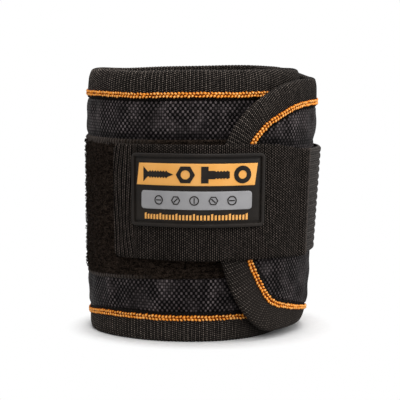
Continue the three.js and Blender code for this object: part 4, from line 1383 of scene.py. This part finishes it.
# Hook patch under the tab
hook = {"start": -13, "end": -39.8, "low": 29.5, "high": 64.5, "thickness": 0.3, "gap": 0.25, "radius": 39}
angle, z = grid(np.linspace(hook["start"], hook["end"], 40), np.linspace(hook["low"], hook["high"], 40))
outer = webbingRadius(angle) - hook["gap"]
inner = outer - hook["thickness"]
u = np.radians(angle) * hook["radius"]
hookPatch = sheetMesh("hookPatch", angle, z, outer, inner, u, hookMaterial)
declare(hookPatch, "hook_tape", "tab", "hook_patch")
bent = [(0, 0, -0.05), (0, 0, 0.14), (0.04, 0, 0.24), (0.12, 0, 0.27), (0.18, 0, 0.2)]
hookShape = strand("hookShape", bent, [0.08, 0.07, 0.06, 0.05, 0.04], 4)
hookGround = groundMesh("hookGround", placed(angle, z, inner), outwards=False)
hooks = tuftField("hookField", hookGround, hookShape, 0.1, 4, hookMaterial)
declare(hooks, "hook_tape", "tab")
print("hook patch made:", len(hooks.data.polygons), "hook faces")

# Moulded label: a plate with a raised rim and raised fields that hold plain signs of fasteners
label = {
    "length": 45.8,
    "height": 24,
    "angle": 1,
    "middle": 51.2,
    "thickness": 0.7,
    "rimHeight": 0.5,
    "corner": 1.6,
    "leftExtra": 0.5,  # the plate is this much longer at its left end
    "gap": 0.25,
    "fieldShift": -0.5,
    "riseShares": (0.217, -0.133, -0.354),  # the bar, the plaque and the scale, as shares of the height
    "fieldGap": 0.05,
    "sunk": 0.05,  # how far the scale reaches into the plate
    "outlineStep": 1.5,
    "roundPoints": 24,
}


# A point of the label, this far along, up and out from the middle of its back
def onLabel(x, y, rise):
    angle = label["angle"] + np.degrees(np.asarray(x) / strap["onLap"])
    base = webbingRadius(angle) + strap["thickness"] + label["gap"]
    return placed(angle, label["middle"] + np.asarray(y), base + rise)


# The outline of a rectangle with round corners, this far in from its edge
def roundedOutline(halfLength, halfHeight, corner, shear=0.0):
    def outline(inset):
        hx, hy = halfLength - inset, max(halfHeight - inset, 0)
        r = min(max(corner - inset, 0.05), hx, hy) if hy > 0 else 0
        centres = ((hx - r, hy - r), (r - hx, hy - r), (r - hx, r - hy), (hx - r, r - hy))
        turns = np.radians(15 * np.arange(7))
        arcs = []
        for centre in centres:
            arcs.append(np.array(centre) + r * np.stack([np.cos(turns), np.sin(turns)], 1))
            turns = turns + math.pi / 2
        points = []
        for side, arc in enumerate(arcs):
            length = 2 * (halfLength, halfHeight)[side % 2]
            count = max(1, int(round(length / label["outlineStep"])))
            after = arcs[(side + 1) % 4][0]
            points += [*arc, *(arc[-1] + (after - arc[-1]) * k / count for k in range(1, count))]
        flat = np.array(points)
        flat[:, 0] += shear * flat[:, 1]
        return flat

    return outline


# Outline loops that climb a profile of (inset, rise), then close over the middle, with a flat back
def moulded(name, outline, profile, deepest, material, shiftX=0.0, shiftY=0.0):
    inset, rise = profile[-1]
    fill = [(inset + (deepest - inset) * k / 6, rise) for k in range(1, 7)]
    back = [(deepest * (6 - k) / 6, 0) for k in range(6)]
    rings = []
    for inset, rise in profile + fill + back:
        flat = outline(inset)
        rings.append(onLabel(flat[:, 0] + shiftX, flat[:, 1] + shiftY, rise))
    points = np.array(rings)
    count, around = points.shape[:2]
    at = np.arange(count * around).reshape(count, around)
    onward, across = np.roll(at, -1, axis=0), np.roll(at, -1, axis=1)
    both = np.roll(onward, -1, axis=1)
    kept = np.arange(count) != len(profile) + len(fill) - 1
    faces = np.stack([at, across, both, onward], -1)[kept].reshape(-1, 4).tolist()
    return closedMesh(name, points, faces, points[..., ::2] * 1000, material, sharpness=50)


halfLength, halfHeight = label["length"] / 2, label["height"] / 2
rimTop = label["thickness"] + label["rimHeight"]
rimProfile = [(0.12, 0), (0, 0.15), (0, rimTop - 0.3), (0.09, rimTop - 0.09), (0.3, rimTop), (0.85, rimTop)]
rimProfile += [(1.04, rimTop - 0.09), (1.12, rimTop - 0.3), (1.18, 0.32), (1.72, 0.32)]
rimProfile += [(1.8, label["thickness"] - label["sunk"]), (1.9, label["thickness"])]
extra = label["leftExtra"] / 2
plateOutline = roundedOutline(halfLength + extra, halfHeight, label["corner"])
labelPlate = moulded("labelPlate", plateOutline, rimProfile, halfHeight, blackVinyl, -extra)
floor = label["thickness"] + label["fieldGap"]
fieldProfile = [(0.05, 0), (0, 0.08), (0, 0.2), (0.06, 0.27), (0.16, 0.3)]
fieldProfile = [(inset, floor + up) for inset, up in fieldProfile]
barY, plaqueY, scaleY = (label["height"] * share for share in label["riseShares"])


# One raised field, sized as shares of the label
def field(name, lengthShare, heightShare, y, corner, shear, material):
    halfX, halfY = halfLength * lengthShare, halfHeight * heightShare
    outline = roundedOutline(halfX, halfY, corner, shear)
    return moulded(name, outline, fieldProfile, halfY, material, label["fieldShift"], y)


labelBar = field("labelBar", 0.882, 0.3, barY, 0.12, 0.13, orangeVinyl)
labelPlaque = field("labelPlaque", 0.821, 0.25, plaqueY, 1.1, 0, greyVinyl)


# Flat shapes that stand on the label. A shape is its outline and, if it has one, its hole, which has as
# many points.
def relief(name, shapes, low, high, material):
    points, faces, flatPoints = [], [], []
    for outlines in shapes:
        first, n = sum(len(p) for p in points), len(outlines[0])
        for flat in outlines:
            for rise in (low, high):
                points.append(onLabel(flat[:, 0], flat[:, 1], rise))
                flatPoints.append(flat)
        ring = np.arange(n)
        after = (ring + 1) % n
        levels = [first + k * n for k in range(2 * len(outlines))]
        sides = [(levels[0], levels[1])]
        if len(outlines) == 1:
            faces += [(levels[1] + ring).tolist(), (levels[0] + ring)[::-1].tolist()]
        else:
            sides += [(levels[3], levels[2]), (levels[1], levels[3]), (levels[2], levels[0])]
        for a, b in sides:
            faces += np.stack([a + ring, a + after, b + after, b + ring], 1).tolist()
    points, flatPoints = np.concatenate(points), np.concatenate(flatPoints)
    return closedMesh(name, points, faces, flatPoints, material, sharpness=30)


# A shape turned and moved to its place on the label
def shapeAt(corners, x, y, turn=0.0):
    cosine, sine = math.cos(math.radians(turn)), math.sin(math.radians(turn))
    across, up = np.asarray(corners, float).T
    return np.stack([x + across * cosine - up * sine, y + across * sine + up * cosine], 1)


# A round loop of points, or one with this many flat sides
def roundLoop(radius, sides=0):
    count = label["roundPoints"]
    turns = np.linspace(0, 2 * math.pi, count, endpoint=False)
    reach = np.full(count, radius)
    if sides:
        part = 2 * math.pi / sides
        reach = radius * math.cos(part / 2) / np.cos(turns % part - part / 2)
    return np.stack([reach * np.cos(turns), reach * np.sin(turns)], 1)


# A shape from its lower half, and from any points at its tip
def mirrored(lower, tip=()):
    upper = [(x, -y) for x, y in lower[::-1]]
    return [upper[-1], *lower, *tip, *upper[:-1]]


# Plain signs for a screw, a nut, a bolt and a washer, then five drive recesses and a ruled scale
sign = {
    "places": (-12.9, -3.4, 6.1, 14.9),
    "nut": ((3.1, 6), (1.5, 0)),  # radius and flat sides, outside and inside
    "washer": (2.9, 1.4),
    "low": 0.24,
    "high": 0.44,
}
lowThread = [(-3.4 + 0.5 * k, -0.75 - 0.5 * (k % 2)) for k in range(15)]
screwShape = mirrored([(-5.5, -2.4), (-3.9, -0.9), *lowThread], [(5.5, 0)])
boltThread = [(0.2 + 0.5 * k, -1.0 - 0.35 * (k % 2)) for k in range(8)]
boltShape = mirrored([(-4.5, -2.7), (-2.2, -2.7), (-2.2, -1.35), (-0.2, -1.35), *boltThread, (4.5, -1)])
screwX, nutX, boltX, washerX = sign["places"]
signs = [
    [shapeAt(screwShape, screwX, barY)],
    [shapeAt(roundLoop(radius, sides), nutX, barY) for radius, sides in sign["nut"]],
    [shapeAt(boltShape, boltX, barY)],
    [shapeAt(roundLoop(radius), washerX, barY) for radius in sign["washer"]],
]
recess = {"count": 5, "first": -12.5, "pitch": 6, "radii": (1.55, 1.2), "slot": (0.9, 0.17), "turn": 45}
halfX, halfY = recess["slot"]
slotShape = mirrored([(-halfX, -halfY), (halfX, -halfY)])
for k in range(recess["count"]):
    x = recess["first"] + recess["pitch"] * k
    signs.append([shapeAt(roundLoop(radius, 6 * (k % 2)), x, plaqueY) for radius in recess["radii"]])
    signs.append([shapeAt(slotShape, x, plaqueY, recess["turn"] * k)])
labelSigns = relief("labelSigns", signs, floor + sign["low"], floor + sign["high"], blackVinyl)
tick = {
    "count": 31,
    "first": -17.6,
    "pitch": 1.14,
    "half": 0.32,
    "low": -1.05,
    "long": 1.05,
    "short": 0.6,
    "rise": 0.25,
}
ticks = []
for k in range(tick["count"]):
    half, low, top = tick["half"], tick["low"], tick["short"] if k % 5 else tick["long"]
    corners = [(-half, 0.8 * top), (-half, low), (half, low), (half, top)]
    ticks.append([shapeAt(corners, tick["first"] + tick["pitch"] * k, scaleY)])
tickFoot = label["thickness"] - label["sunk"]
labelScale = relief("labelScale", ticks, tickFoot, floor + tick["rise"], orangeVinyl)
declare(labelSigns, "black_vinyl", "tab")
declare(labelPlate, "black_vinyl", "tab", "label_plate")
declare(labelBar, "orange_vinyl", "tab", "label_bar")
declare(labelPlaque, "grey_vinyl", "tab", "label_plaque")
declare(labelScale, "orange_vinyl", "tab", "label_scale")
print("label made")

for helper in (chainStitch, lockStitch, pileLoop, hookShape):
    bpy.data.objects.remove(helper)

# Floor that shows as white to the camera and keeps the shadow, and soft studio lamps
studio = {
    "floorSize": 6,
    "paperDark": "#e8e8e8",
    "paperLight": "#f4f4f4",
    "bounce": "#a8a8a8",
    "world": 0.2,
    "fadeFrom": 0.039,
    "fadeTo": 0.05,
    "middle": (0.001, -0.001, 0),
    "aim": (0, 0, 0.045),
}


# One where the camera or a mirror looks, and nothing where a surface only lights the object
def lookedAt(tree):
    rays = [add(tree, "LightPath", out=f"Is {ray} Ray") for ray in ("Camera", "Glossy", "Transmission")]
    return add(tree, "Math MAXIMUM", rays[0], add(tree, "Math MAXIMUM", rays[1], rays[2]))


# Matt paper: pale and without any gloss, so that it shows nothing but the cuff's own shadow
floorMaterial, tree = newMaterial("paperSweepMatt")
seen = lookedAt(tree)
place = add(tree, "TexCoord", out=3)
fibre = add(tree, "TexNoise", {"Vector": place, "Scale": 400})
tone = {0: fibre, 6: studio["paperDark"], 7: studio["paperLight"]}
tone = add(tree, "Mix", tone, out=2, data_type="RGBA")
tone = add(tree, "Mix", {0: seen, 6: studio["bounce"], 7: tone}, out=2, data_type="RGBA")
paper = add(tree, "BsdfPrincipled", {"Base Color": tone, "Roughness": 1, "Specular IOR Level": 0})
away = add(tree, "VectorMath LENGTH", add(tree, "VectorMath SUBTRACT", place, studio["middle"]), out=1)
far = (away, studio["fadeFrom"], studio["fadeTo"])
far = add(tree, "MapRange", *far, interpolation_type="SMOOTHSTEP")
white = add(tree, "Emission", (1, 1, 1, 1), 1)
add(tree, "OutputMaterial", add(tree, "MixShader", add(tree, "Math MULTIPLY", far, seen), paper, white))
work = bmesh.new()
bmesh.ops.create_grid(work, x_segments=24, y_segments=24, size=studio["floorSize"] / 2)
mesh = bpy.data.meshes.new("studioFloor")
work.to_mesh(mesh)
work.free()
mesh.materials.append(floorMaterial)
studioFloor = placeInScene("studioFloor", mesh)

world = bpy.data.worlds.new("studioWorld")
bpy.context.scene.world = world
world.use_nodes = True
tree = world.node_tree
tree.nodes.clear()
strength = add(tree, "MapRange", lookedAt(tree), 0, 1, studio["world"], 1)
add(tree, "OutputWorld", add(tree, "Background", (1, 1, 1, 1), strength))

lamps = {
    "front": {"place": (0.1, -0.95, 0.6), "size": 0.6, "power": 5.6},
    "right": {"place": (0.9, -0.3, 0.4), "size": 0.6, "power": 4.4},
    "left": {"place": (-0.9, -0.25, 0.4), "size": 0.5, "power": 0.6},
    "above": {"place": (0.08, 0.05, 1.0), "size": 0.9, "power": 11},
}
for name, lamp in lamps.items():
    data = bpy.data.lights.new(name + "Softbox", "AREA")
    data.shape = "SQUARE"
    data.size = lamp["size"]
    data.energy = lamp["power"]
    made = placeInScene(name + "Softbox", data)
    made.location = lamp["place"]
    aim = [t - p for t, p in zip(studio["aim"], lamp["place"])]
    flat = math.hypot(aim[0], aim[1])
    tilt, turn = math.atan2(aim[2], flat), math.atan2(aim[1], aim[0])
    made.rotation_euler = (math.pi / 2 + tilt, 0, turn - math.pi / 2)
bpy.context.scene.view_settings.view_transform = "Standard"
print("studio made")
